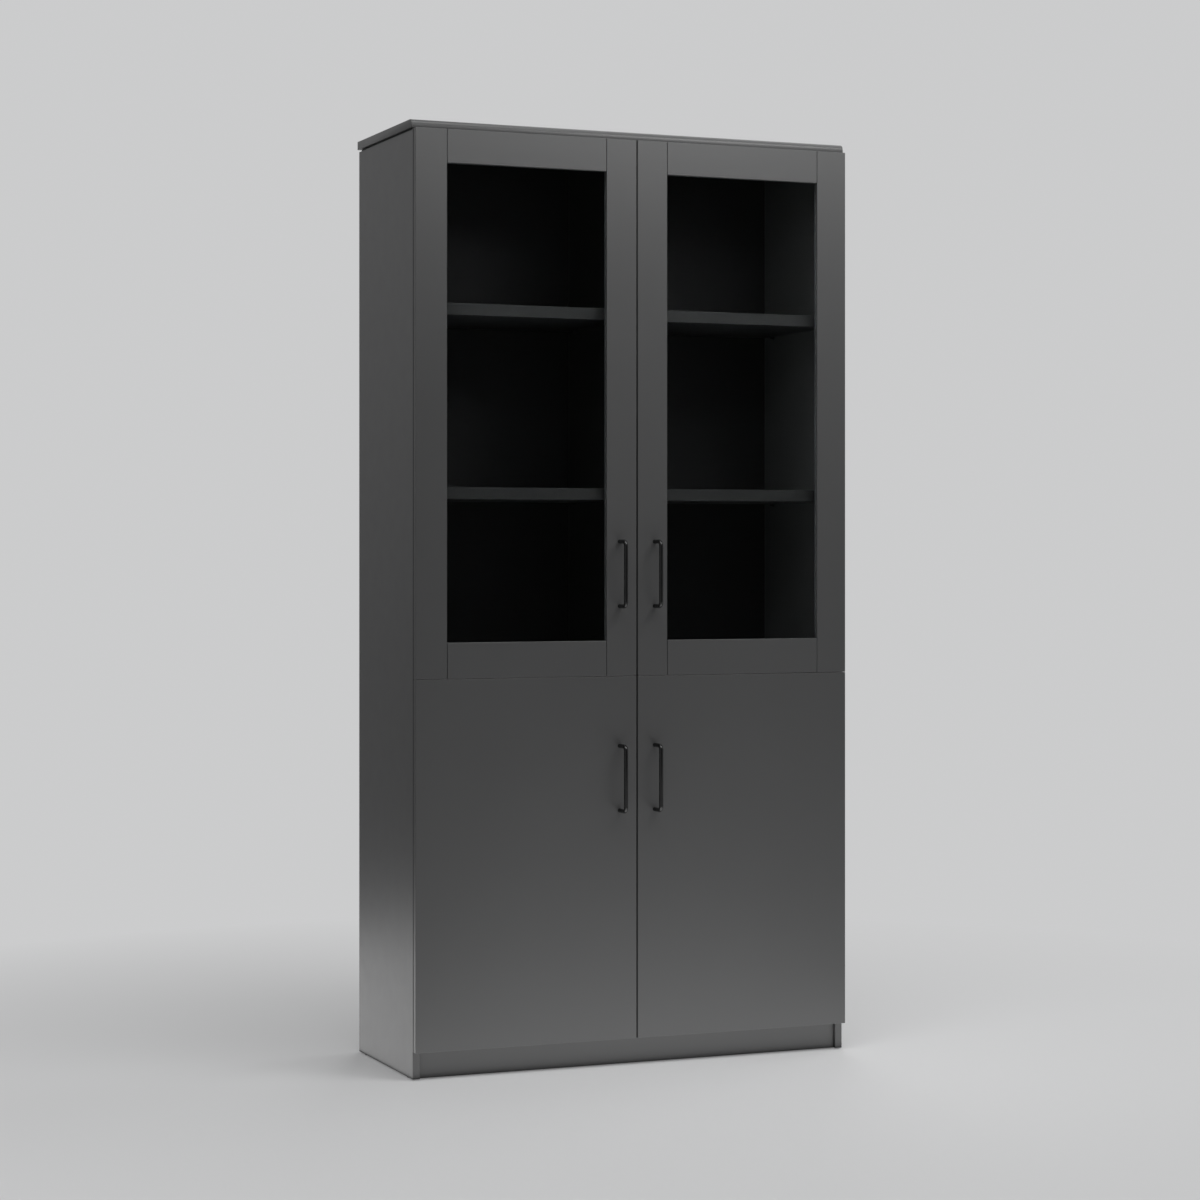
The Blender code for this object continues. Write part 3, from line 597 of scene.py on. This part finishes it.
def screw_head(radius, height):
    """A domed screw head with a cross recess, standing on the plane z = 0."""
    shape = bmesh.new()
    half = GRID_SHARE * radius
    bmesh.ops.create_grid(shape, x_segments=GRID_SQUARES, y_segments=GRID_SQUARES, size=half,
                          matrix=Matrix.Translation((0, 0, height)))
    rim = [edge for edge in shape.edges if edge.is_boundary]
    cross = [face for face in shape.faces if face.calc_center_median().xy.length < half / 2]
    dug = verts_of(bmesh.ops.extrude_face_region(shape, geom=cross)["geom"])
    bmesh.ops.delete(shape, geom=cross, context="FACES")
    bmesh.ops.scale(shape, verts=dug, vec=(RECESS_TAPER, RECESS_TAPER, 1))
    bmesh.ops.translate(shape, verts=dug, vec=(0, 0, -RECESS_DEPTH * height))
    for share, level in DOME:
        for vert in {vert for edge in rim for vert in edge.verts}:
            vert.co.xy = vert.co.xy.normalized() * share * radius
            vert.co.z = level * height
        if level:
            rim = run(shape, rim, (0, 0, 0))
    bmesh.ops.edgeloop_fill(shape, edges=rim)
    return shape


print("screw heads: a recess and", len(DOME), "rings for the dome")

# %% [markdown]
# The first screws hold the handles. They come through the door from behind, so only a head on a flat
# washer shows on the rear of each door.

# %% Handle screws
HANDLE_SCREW = (0.0042, 0.0022)
WASHER_TOP = 0.0009
WASHER = [(0, 0), (0.0058, 0), (0.0058, 0.0006), (0.0054, WASHER_TOP), (0, WASHER_TOP)]
WASHER_SIDES = 32


def handle_screws(door):
    """Two screws with washers, on the rear face of a door behind the feet of its handle."""
    low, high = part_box(door + "_handle")
    radius = (high.x - low.x) / 2
    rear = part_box(meeting_board(door))[1].y
    shape = bmesh.new()
    for z in (low.z + radius, high.z - radius):
        place = Matrix.Translation(((low.x + high.x) / 2, rear, z)) @ TOWARDS_REAR
        join(shape, lathe(WASHER, WASHER_SIDES), place)
        join(shape, screw_head(*HANDLE_SCREW), place @ Matrix.Translation((0, 0, WASHER_TOP)))
    return piece(door + "_handle_screws", shape, "hinge_steel", door + "_door")


print("made:", [handle_screws(door).name for door in DOORS])

# %% [markdown]
# ## Cup hinges
# A cup hinge has two halves. The bowl is pressed into a bore in the door and screwed on by two ears.
# The arm is screwed to the side panel, and its front end is rolled round a pin in the bowl. Both are
# built round the pin: x runs from it towards the middle of the cabinet and y to the rear.
#
# The bowl comes first. It is turned on the lathe helper, and a flange lies round half of its rim.

# %% Hinge bowl
BOWL_INSIDE = 0.0164
BOWL_WALL = 0.0008
BOWL_FLOOR = -0.0032
BOWL_CORNER = ((0.003, 0.0), (0.0014, 0.0004), (0.0004, 0.0014), (0.0, 0.003))  # inset and rise
BOWL_LIP = 0.0002
BOWL_CHAMFER = 0.002
BOWL_SIDES = 64
DOOR_FACE = 0.0096
FLANGE_RADIUS = 0.0187
FLANGE_TOP = 0.0106
FLANGE_BREAK = 0.0004
FLANGE_HOLE = ((0.0001, 0.0010), (0.0001, 0.0003), (0.0005, 0.0))  # out from the bowl, below the top
FLANGE_HALF_ANGLE = 96
FLANGE_STEPS = 40


def bowl():
    """The pressed bowl, with its axis on the z axis."""
    outside = BOWL_INSIDE + BOWL_WALL
    base = BOWL_FLOOR - BOWL_WALL
    inner = [(BOWL_INSIDE - inset, BOWL_FLOOR + rise) for inset, rise in BOWL_CORNER]
    lip = [(BOWL_INSIDE, DOOR_FACE - BOWL_LIP), (BOWL_INSIDE + BOWL_LIP, DOOR_FACE),
           (outside, DOOR_FACE)]
    outer = [(outside, base + BOWL_CHAMFER), (outside - BOWL_CHAMFER, base)]
    return lathe([(0, BOWL_FLOOR), *inner, *lip, *outer, (0, base)], BOWL_SIDES)


def half_flange():
    """A flat ring round half of the bowl's rim."""
    hole = [(BOWL_INSIDE + out, FLANGE_TOP - down) for out, down in FLANGE_HOLE]
    edge = [(FLANGE_RADIUS - FLANGE_BREAK, FLANGE_TOP), (FLANGE_RADIUS, FLANGE_TOP - FLANGE_BREAK),
            (FLANGE_RADIUS, DOOR_FACE)]
    shape = bmesh.new()
    corners = [shape.verts.new((radius, 0, height)) for radius, height in hole + edge]
    shape.faces.new(corners)
    start = Matrix.Rotation(math.radians(-FLANGE_HALF_ANGLE), 3, "Z")
    bmesh.ops.rotate(shape, verts=corners, matrix=start)
    end = turn(shape, shape.edges[:], (0, 0, 0), (0, 0, 1), 2 * FLANGE_HALF_ANGLE, FLANGE_STEPS)
    bmesh.ops.edgeloop_fill(shape, edges=end)
    return shape


print("bowl:", 2 * BOWL_INSIDE, "m wide inside, flange", 2 * FLANGE_RADIUS, "m")

# %% [markdown]
# An ear is a flat bar with a round tip. Its root is cut off along the bowl, so that it ends under the
# flange. With the pin and two screws the bowl is complete. It is mirrored for doors on the right.

# %% Ears and whole bowls
BOWL_CENTRE = 0.0124
EAR_LOW, EAR_HIGH = 0.0164, 0.0274
EAR_START, EAR_END = 0.004, 0.0275
EAR_ROUND, EAR_STEPS = 0.004, 6
EAR_SINK = 0.0001
EAR_BREAK, EAR_BREAK_STEPS = 0.0003, 2
EAR_CUT = (0.0095, 0, 0.0142)
EAR_CUT_GAP = 0.0009
EAR_SCREW_PLACE = (0.0219, 0.0225)
EAR_SCREW = (0.0036, 0.0006)
PIN_RADIUS, PIN_HALF, PIN_SIDES = 0.0012, 0.0102, 20
PIN = [(0, -PIN_HALF), (PIN_RADIUS, -PIN_HALF), (PIN_RADIUS, PIN_HALF), (0, PIN_HALF)]


def ear(up):
    """One rounded ear of the bowl, cut off along the flange."""
    shape = block((EAR_LOW, DOOR_FACE, EAR_START), (EAR_HIGH, FLANGE_TOP - EAR_SINK, EAR_END))
    tip = [edge for edge in edges_where(shape, lambda spot: spot.z > EAR_END - TINY)
           if not near(edge.verts[0].co.y, edge.verts[1].co.y)]
    round_off(shape, tip, EAR_ROUND, EAR_STEPS)
    across = Vector(EAR_CUT).normalized()
    cut_off(shape, Vector((BOWL_CENTRE, 0, 0)) + across * (BOWL_INSIDE + EAR_CUT_GAP), -across)
    top = edges_where(shape, lambda spot: spot.y > FLANGE_TOP - 2 * EAR_SINK)
    round_off(shape, top, EAR_BREAK, EAR_BREAK_STEPS)
    bmesh.ops.scale(shape, verts=shape.verts, vec=(1, 1, up))
    return shape


def hinge_bowl(door, number, place):
    seat = Matrix.Translation((BOWL_CENTRE, 0, 0)) @ TOWARDS_REAR
    shape = bmesh.new()
    join(shape, bowl(), seat)
    join(shape, half_flange(), seat)
    join(shape, lathe(PIN, PIN_SIDES))
    for up in (-1, 1):
        join(shape, ear(up))
        x, z = EAR_SCREW_PLACE
        spot = Matrix.Translation((x, FLANGE_TOP - EAR_SINK, up * z))
        join(shape, screw_head(*EAR_SCREW), spot @ TOWARDS_REAR)
    bmesh.ops.transform(shape, matrix=place, verts=shape.verts)
    node = f"{door}_hinge_cup_{number}"
    return piece(f"{door}_hinge_bowl_{number}", shape, "hinge_steel", door + "_door", node)


HINGE_COUNT = {"upper": 3, "lower": 2}
AXIS = {joint["child"]: Vector(joint["pos_m"]) for joint in frame["joints"]}


def hinge_places(door):
    """Gives the number of each hinge of a door, and the place of its pin."""
    level, side = door.split("_")
    axis = AXIS[door + "_door"]
    for number in range(1, HINGE_COUNT[level] + 1):
        low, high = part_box(f"{door}_hinge_cup_{number}")
        middle = Matrix.Translation((axis.x, axis.y, (low.z + high.z) / 2))
        yield number, middle @ Matrix.Diagonal((-SIDES[side], 1, 1, 1))


print("made:", [hinge_bowl(door, *found).name for door in DOORS for found in hinge_places(door)])

# %% [markdown]
# The arm's strip is a flat bar, so its ring of edges is a rectangle. It runs forward out of the arm
# body, bends towards the door's edge, and is rolled round the pin with the play of a real eye. The
# arm body has the two adjusting screws of the hinge on its crown.

# %% Hinge arms
TOWARDS_X = Matrix.Rotation(math.radians(90), 4, "Y")
UPRIGHT = (0, 0, 1)
STRIP_THICK, STRIP_HALF_WIDTH = 0.0012, 0.005
STRIP_X, STRIP_REAR = 0.016, 0.0297
STRIP_BEND, STRIP_STEPS = 0.003, 8
EYE_RADIUS, EYE_TURN, EYE_STEPS = 0.0022, 285, 24
BODY_LOW, BODY_HIGH = (0.0105, 0.0167, -0.0055), (0.0171, 0.0687, 0.0055)
CROWN_ROUND, CROWN_STEPS = 0.0018, 5
CROWN_SCREW = (0.0032, 0.0010)
CROWN_SCREW_YS = (0.0311, 0.0576)


def rolled_strip():
    shape = bmesh.new()
    flat = Matrix.Translation((STRIP_X, STRIP_REAR, 0)) @ Matrix.Diagonal(
        (STRIP_THICK / 2, 1, STRIP_HALF_WIDTH, 1)) @ TOWARDS_REAR
    bmesh.ops.create_grid(shape, x_segments=1, y_segments=1, size=1, matrix=flat)
    bend = STRIP_BEND - EYE_RADIUS
    ring = run(shape, shape.edges[:], (0, bend - STRIP_REAR, 0))
    ring = turn(shape, ring, (STRIP_X - STRIP_BEND, bend, 0), UPRIGHT, -90, STRIP_STEPS)
    ring = run(shape, ring, (STRIP_BEND - STRIP_X, 0, 0))
    ring = turn(shape, ring, (0, 0, 0), UPRIGHT, -EYE_TURN, EYE_STEPS)
    bmesh.ops.edgeloop_fill(shape, edges=ring)
    return shape


def arm_body():
    shape = block(BODY_LOW, BODY_HIGH)
    crown = [edge for edge in shape.edges if max(v.co.x for v in edge.verts) > BODY_HIGH[0] - TINY]
    round_off(shape, crown, CROWN_ROUND, CROWN_STEPS)
    for y in CROWN_SCREW_YS:
        join(shape, screw_head(*CROWN_SCREW), Matrix.Translation((BODY_HIGH[0], y, 0)) @ TOWARDS_X)
    return shape


print("eye:", 2 * EYE_RADIUS, "m wide, rolled through", EYE_TURN, "degrees")

# %% [markdown]
# Under the arm body lies the plate that is screwed to the side panel. Its corners are round, and its
# upper edges are broken.

# %% Mounting plates and whole arms
PLATE_LOW, PLATE_HIGH = (0.0087, 0.0277, -0.0220), (0.0107, 0.0577, 0.0220)
PLATE_CORNER, PLATE_CORNER_STEPS = 0.006, 6
PLATE_BREAK, PLATE_BREAK_STEPS = 0.0005, 2
PLATE_SCREW = (0.0040, 0.0020)
PLATE_SCREW_Y, PLATE_SCREW_Z = 0.0427, 0.0160


def mounting_plate():
    shape = block(PLATE_LOW, PLATE_HIGH)
    corners = [edge for edge in shape.edges if not near(edge.verts[0].co.x, edge.verts[1].co.x)]
    round_off(shape, corners, PLATE_CORNER, PLATE_CORNER_STEPS)
    face = edges_where(shape, lambda spot: spot.x > PLATE_HIGH[0] - TINY)
    round_off(shape, face, PLATE_BREAK, PLATE_BREAK_STEPS)
    for z in (-PLATE_SCREW_Z, PLATE_SCREW_Z):
        seat = Matrix.Translation((PLATE_HIGH[0], PLATE_SCREW_Y, z)) @ TOWARDS_X
        join(shape, screw_head(*PLATE_SCREW), seat)
    return shape


def hinge_arm(door, number, place):
    shape = rolled_strip()
    join(shape, arm_body())
    join(shape, mounting_plate())
    bmesh.ops.transform(shape, matrix=place, verts=shape.verts)
    node = f"{door}_hinge_arm_{number}"
    return piece(f"{door}_hinge_bracket_{number}", shape, "hinge_steel", "carcass", node)


print("made:", [hinge_arm(door, *found).name for door in DOORS for found in hinge_places(door)])

# %% [markdown]
# ## Glazing beads
# From behind, each pane is held by four strips of bead. They are cut at the corners at forty-five
# degrees, like a picture frame. Each strip is a box whose ends are cut off along a slanted plane, and
# whose edge over the pane is rounded.

# %% Beads
X_AXIS, Z_AXIS = 0, 2
MITRE_GAP = 0.00015
BEAD_ROUND, BEAD_STEPS = 0.0012, 4
BEAD_SLACK = 0.00001


def bead_strips(door):
    node = door + "_glazing_bead"
    low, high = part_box(node)
    middle, half = (low + high) / 2, (high - low) / 2
    stiles = [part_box(f"{door}_{kind}_stile") for kind in ("hinge", "meeting")]
    left = min(stiles, key=lambda box: box[0].x)
    width = {X_AXIS: left[1].x - low.x, Z_AXIS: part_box(door + "_bottom_rail")[1].z - low.z}
    shape = bmesh.new()
    for along, across in ((X_AXIS, Z_AXIS), (Z_AXIS, X_AXIS)):
        clear = half[across] - width[across] + BEAD_SLACK
        for side in (-1, 1):
            start, stop = low.copy(), high.copy()
            if side < 0:
                stop[across] = low[across] + width[across]
            else:
                start[across] = high[across] - width[across]
            strip = block(start, stop)
            for end in (-1, 1):
                corner, slant = middle.copy(), Vector((0, 0, 0))
                corner[along] += end * (half[along] - MITRE_GAP)
                corner[across] += side * half[across]
                slant[along], slant[across] = end, -side
                cut_off(strip, corner, slant)
            lip = edges_where(strip, lambda spot: spot.y > high.y - TINY
                              and abs(spot[across] - middle[across]) < clear)
            round_off(strip, lip, BEAD_ROUND, BEAD_STEPS)
            join(shape, strip)
    return piece(door + "_bead_strips", shape, SLOT_OF[node], door + "_door", node)


print("made:", [bead_strips("upper_" + side).name for side in SIDES])

# %% [markdown]
# ## Shelf pins
# A shelf rests on four black pins that plug into the uprights beside it. The frame has plain pins as
# part of its uprights. These cover them with a collar against the wall and a broken end, turned on
# the lathe helper.

# %% Shelf pins
SHELF_PIN_RADIUS = 0.0026
SHELF_PIN_REACH = 0.0092
SHELF_PIN_BREAK = 0.0006
SHELF_PIN_INSET = 0.045
SHELF_PIN_DROP = 0.0028
SHELF_PLAY = 0.0008
COLLAR_RADIUS, COLLAR_TOP = 0.0042, 0.0010
COLLAR = [(0, 0), (COLLAR_RADIUS, 0), (COLLAR_RADIUS, 0.0006), (0.0038, COLLAR_TOP)]
SHELF_PIN = COLLAR + [
    (SHELF_PIN_RADIUS, COLLAR_TOP),
    (SHELF_PIN_RADIUS, SHELF_PIN_REACH - SHELF_PIN_BREAK),
    (SHELF_PIN_RADIUS - SHELF_PIN_BREAK, SHELF_PIN_REACH),
    (0, SHELF_PIN_REACH),
]
DOT_SIDES = 24


def shelf_pins(shelf):
    """Four pins under a shelf, two in each upright beside it."""
    low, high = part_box(shelf)
    shape = bmesh.new()
    for wall, way in ((low.x - SHELF_PLAY, 1), (high.x + SHELF_PLAY, -1)):
        for y in (low.y + SHELF_PIN_INSET, high.y - SHELF_PIN_INSET):
            spot = Matrix.Translation((wall, y, low.z - SHELF_PIN_DROP))
            place = spot @ Matrix.Diagonal((way, 1, 1, 1)) @ TOWARDS_X
            join(shape, lathe(SHELF_PIN, DOT_SIDES), place)
    return piece(shelf + "_pins", shape, "glide_nylon", "carcass")


SHELVES = sorted(name for name in nodes if "_shelf_" in name)
print("made:", [shelf_pins(shelf).name for shelf in SHELVES])

# %% [markdown]
# ## Bumpers
# Two soft dots on the rear of each door stop it from clapping on the divider. A dot is a small dome
# off the lathe. It is thinner than the gap behind the door, so it never presses into the divider.

# %% Bumpers on the doors
BUMPER_RADIUS, BUMPER_TOP = 0.0028, 0.0011
BUMPER_SHARES = ((0, 0), (1, 0), (1, 0.4), (0.85, 0.75), (0.5, 0.95), (0, 1))
BUMPER = [(BUMPER_RADIUS * out, BUMPER_TOP * up) for out, up in BUMPER_SHARES]
BUMPER_FROM_EDGE = 0.0036
BUMPER_FROM_END = 0.060


def bumpers(door):
    """Two soft dots on the rear of a door, where it meets the divider."""
    low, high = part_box(meeting_board(door))
    meeting = min(low.x, high.x, key=abs)
    x = meeting + math.copysign(BUMPER_FROM_EDGE, meeting)
    shape = bmesh.new()
    for z in (low.z + BUMPER_FROM_END, high.z - BUMPER_FROM_END):
        join(shape, lathe(BUMPER, DOT_SIDES), Matrix.Translation((x, high.y, z)) @ TOWARDS_REAR)
    return piece(door + "_bumpers", shape, "glide_nylon", door + "_door")


print("made:", [bumpers(door).name for door in DOORS])

# %% [markdown]
# ## Seals
# A black strip on the meeting edge of each right-hand door keeps dust out, and hides the pale light
# that would come through the gap. It is a thin box with broken edges. It stays a little behind the
# door's face, and it leaves room in the gap for the door to swing.

# %% Seals between the doors
SEAL_THICKNESS = 0.0010
SEAL_SETBACK = 0.0005
SEAL_MARGIN = 0.0018
FINE_BREAK, FINE_STEPS = 0.0003, 2


def meeting_seal(level):
    """A black strip along the meeting edge of a right-hand door."""
    low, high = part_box(meeting_board(level + "_right"))
    shape = block((low.x - SEAL_THICKNESS, low.y + SEAL_SETBACK, low.z + SEAL_MARGIN),
                  (low.x, high.y - SEAL_MARGIN, high.z - SEAL_MARGIN))
    round_off(shape, shape.edges, FINE_BREAK, FINE_STEPS)
    return piece(level + "_meeting_seal", shape, "glide_nylon", level + "_right_door")


print("made:", [meeting_seal(level).name for level in LEVELS])

# %% [markdown]
# ## Lips on the side panels
# A door that turns on its hinge needs a round rear edge, or its corner would hit the side panel. That
# round leaves a dark groove along the side of the cabinet. A lip on the panel's front edge, flush with
# its outer face, closes most of the groove. It can be three millimetres tall only because it is so
# thin: further in, the turning edge comes close to the panel. The lip is a box with a slanted tip.

# %% Lips on the side panels
LIP_WIDTH = 0.0008
LIP_OUTER_REACH, LIP_INNER_REACH = 0.0032, 0.0024
LIP_ROOT = 0.0009
LIP_INSET = 0.00005


def hinge_lip(side):
    """A thin strip on the front edge of a side panel."""
    low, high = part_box(side + "_side_panel")
    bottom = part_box(f"lower_{side}_door_slab")[0].z
    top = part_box(f"upper_{side}_hinge_stile")[1].z
    outer = SIDES[side] * (max(abs(low.x), abs(high.x)) - LIP_INSET)
    inner = outer - SIDES[side] * LIP_WIDTH
    left, right = sorted((outer, inner))
    shape = block((left, low.y - LIP_OUTER_REACH, bottom), (right, low.y + LIP_ROOT, top))
    slanted = [vert for vert in shape.verts if near(vert.co.x, inner) and vert.co.y < low.y]
    bmesh.ops.translate(shape, verts=slanted, vec=(0, LIP_OUTER_REACH - LIP_INNER_REACH, 0))
    tip = edges_where(shape, lambda spot: near(spot.x, outer) and spot.y < low.y)
    round_off(shape, tip, FINE_BREAK, FINE_STEPS)
    return piece(side + "_hinge_lip", shape, "lacquer", "carcass")


print("made:", [hinge_lip(side).name for side in SIDES])

# %% [markdown]
# ## Glides
# Nylon glides are nailed under the side panels, so that the cabinet slides on the floor without
# scratching it. A glide is a low disc with a round lower edge.

# %% Glides
GLIDE_TOP = 0.0020
GLIDE_EDGE = ((0.0012, 0.0), (0.0004, 0.0003), (0.0, 0.0010))  # inset and rise
GLIDE_SIDES = 48


def glide(name):
    low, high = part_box(name)
    radius = (high.x - low.x) / 2
    edge = [(radius - inset, rise) for inset, rise in GLIDE_EDGE]
    disc = lathe([(0, 0), *edge, (radius, GLIDE_TOP), (0, GLIDE_TOP)], GLIDE_SIDES)
    shape = bmesh.new()
    join(shape, disc, Matrix.Translation(((low.x + high.x) / 2, (low.y + high.y) / 2, low.z)))
    return piece(name.replace("glide", "foot"), shape, SLOT_OF[name], "carcass", name)


GLIDES = sorted(name for name in nodes if name.endswith("_glide"))
print("made:", [glide(name).name for name in GLIDES])

# %% [markdown]
# ## Nails
# The thin backs are nailed into the carcass: up both sides, up the dividers and along the middle panel.
# The heads are low discs, spaced evenly by a helper that divides a length into whole steps.

# %% Nails along the backs
NAIL_RADIUS, NAIL_TOP, NAIL_SIDES = 0.0024, 0.0004, 16
NAIL_SHARES = ((0, 0), (1, 0), (0.9, 0.7), (0.6, 1), (0, 1))
NAIL = [(NAIL_RADIUS * out, NAIL_TOP * up) for out, up in NAIL_SHARES]
NAIL_INSET = 0.0045
NAIL_SPACING = 0.140
FIRST_ROW = 0.012
END_MARGIN = 0.1


def evenly(start, end, spacing):
    count = max(1, round(abs(end - start) / spacing))
    return [start + (end - start) * step / count for step in range(count + 1)]


def back_nails(panel):
    """Nail heads along the sides, the middle and one end of a back panel."""
    low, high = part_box(panel)
    rows = evenly(low.z + FIRST_ROW, high.z - NAIL_INSET, NAIL_SPACING)
    spots = [(x, z) for z in rows for x in (low.x + NAIL_INSET, 0.0, high.x - NAIL_INSET)]
    edge = low.z + NAIL_INSET if panel.startswith("upper") else high.z - NAIL_INSET
    spots += [(x, edge) for x in evenly(low.x + END_MARGIN, high.x - END_MARGIN, NAIL_SPACING)]
    shape = bmesh.new()
    for x, z in spots:
        join(shape, lathe(NAIL, NAIL_SIDES), Matrix.Translation((x, high.y, z)) @ TOWARDS_REAR)
    return piece(panel.replace("panel", "nails"), shape, "hinge_steel", "carcass")


print("made:", [back_nails(level + "_back_panel").name for level in LEVELS])

# %% [markdown]
# ## Studio
# A pale floor and soft light from large lamps. The floor fades into the pale background a few metres
# out, so there is no horizon. The background is shown to the camera, in gloss and through glass only,
# and a much weaker sky lights the cabinet, so that the lamps shape the doors.

# %% Background and floor
BACKGROUND = 0.60
SKY = 0.022
FLOOR_GREY = 0.78
FLOOR_RADIUS, FLOOR_SIDES = 16.0, 96
FLOOR_GLOW = 0.3
FADE_START, FADE_END = 0.5, 2.4


def shown_rays(tree):
    """Gives 1 for rays that show the background: from the camera, off gloss and through glass."""
    path = add_node(tree, "LightPath")
    total = path.outputs["Is Camera Ray"]
    for name in ("Is Glossy Ray", "Is Transmission Ray"):
        total = maths(tree, "MAXIMUM", total, path.outputs[name])
    return total


def studio_world():
    world = bpy.data.worlds.new("studio")
    world.use_nodes = True
    tree = world.node_tree
    colour = tint(tree, shown_rays(tree), grey(SKY), grey(BACKGROUND))
    feed(tree.nodes["Background"], Color=colour)
    bpy.context.scene.world = world


def lay_glow(tree, finish, amount, tone):
    """Lays a glow of some tone over a finish."""
    glow = add_node(tree, "Emission", Color=grey(1.0), Strength=tone)
    mix_shaders(tree, amount, finish, glow.outputs["Emission"])


def studio_floor():
    shape = bmesh.new()
    bmesh.ops.create_circle(shape, cap_ends=True, segments=FLOOR_SIDES, radius=FLOOR_RADIUS)
    floor = make_object("floor", shape)
    material, tree, shader, place = start_finish(
        "pale_floor", Base_Color=grey(FLOOR_GREY), Roughness=0.7, Specular_IOR_Level=0.2)
    reach = tree.nodes.new("ShaderNodeVectorMath")
    reach.operation = "LENGTH"
    wire(place, reach.inputs[0])
    far = ramp(tree, reach.outputs["Value"], low=FLOOR_GLOW, start=FADE_START, end=FADE_END)
    glowing = maths(tree, "MULTIPLY", far, shown_rays(tree))
    lay_glow(tree, shader.outputs["BSDF"], glowing, BACKGROUND)
    floor.data.materials.append(material)


studio_world()
studio_floor()
print("floor radius:", FLOOR_RADIUS, "background:", BACKGROUND)

# %% [markdown]
# Satin lacquer mirrors whatever stands around it, and a pale room would wash it out. In a photo studio
# grey cards are stood beside the object for that. Two such cards stand here, one behind on the left for
# the side panel and one in front for the doors. They are seen in reflections only: a path of light that
# was never reflected passes straight through them.

# %% Grey cards
CARD_THICKNESS = 0.01
CARDS = {
    # name: (place, yaw in degrees, (width, height), tone at the foot, tone at the top)
    "side_card": ((-1.75, 2.3, 0.0), 22.5, (2.4, 2.4), 0.14, BACKGROUND),
    "front_card": ((1.5, -7.0, 0.0), 0.0, (18.0, 6.0), 0.10, 0.10),
}


def grey_card(name, place, yaw, size, foot_tone, top_tone):
    """A standing card that shows in reflections only."""
    width, height = size
    shape = block((-width / 2, 0, 0), (width / 2, CARD_THICKNESS, height))
    stand = Matrix.Translation(place) @ Matrix.Rotation(math.radians(yaw), 4, "Z")
    bmesh.ops.transform(shape, matrix=stand, verts=shape.verts)
    card = make_object(name, shape)
    card.visible_camera = False
    card.visible_diffuse = False
    card.visible_shadow = False
    material, tree, shader, spot = start_finish(name)
    tree.nodes.remove(shader)
    split = add_node(tree, "SeparateXYZ", Vector=spot)
    tone = ramp(tree, split.outputs["Z"], foot_tone, top_tone, start=0.0, end=height)
    unseen = add_node(tree, "BsdfTransparent").outputs["BSDF"]
    reflected = add_node(tree, "LightPath").outputs["Glossy Depth"]
    lay_glow(tree, unseen, reflected, tone)
    card.data.materials.append(material)


for name, facts in CARDS.items():
    grey_card(name, *facts)
print("cards:", list(CARDS))

# %% [markdown]
# All lamps are soft boxes: flat rectangles that shine to one side. Two of them lie on the floor and
# stand for the light that a pale floor throws back, which makes the lower doors grow lighter downwards.

# %% Lamps
LAMPS = {
    # name: (place, the point it looks at, (width, height), power in watts)
    "key": ((0.9, -1.2, 2.7), (0.4, -0.17, 2.0), (1.2, 0.4), 17.8),
    "front": ((0.4, -1.5, 2.35), (0.3, -0.17, 1.9), (1.8, 0.3), 11.5),
    "overhead": ((-0.6, -1.15, 3.9), (-0.6, -1.0, 0), (2.0, 1.2), 50),
    "top_light": ((0.65, 0.5, 3.0), (0.65, 0.5, 0), (1.3, 1.4), 7.4),
    "rear_fill": ((1.6, 3.2, 2.2), (0.2, 0.2, 1.0), (1.6, 1.6), 26),
    "right_fill": ((2.9, 0.9, 1.9), (0.5, 0.1, 1.0), (1.4, 1.6), 16),
    "front_bounce": ((0.1, -0.796, 0.003), (0.1, -0.796, 1), (1.4, 1.248), 11.5),
    "left_bounce": ((-1.05, 0.9, 0.003), (-1.05, 0.9, 1), (1.09, 2.1), 9.4),
}


def softbox(name, place, aim, size, power):
    """Makes a rectangular lamp that looks at a point."""
    lamp = bpy.data.lights.new(name, "AREA")
    lamp.shape = "RECTANGLE"
    lamp.size, lamp.size_y = size
    lamp.energy = power
    box = bpy.data.objects.new(name, lamp)
    box.location = place
    box.rotation_euler = (Vector(aim) - Vector(place)).to_track_quat("-Z", "Y").to_euler()
    bpy.context.collection.objects.link(box)


for name, facts in LAMPS.items():
    softbox(name, *facts)
print("lamps:", list(LAMPS))
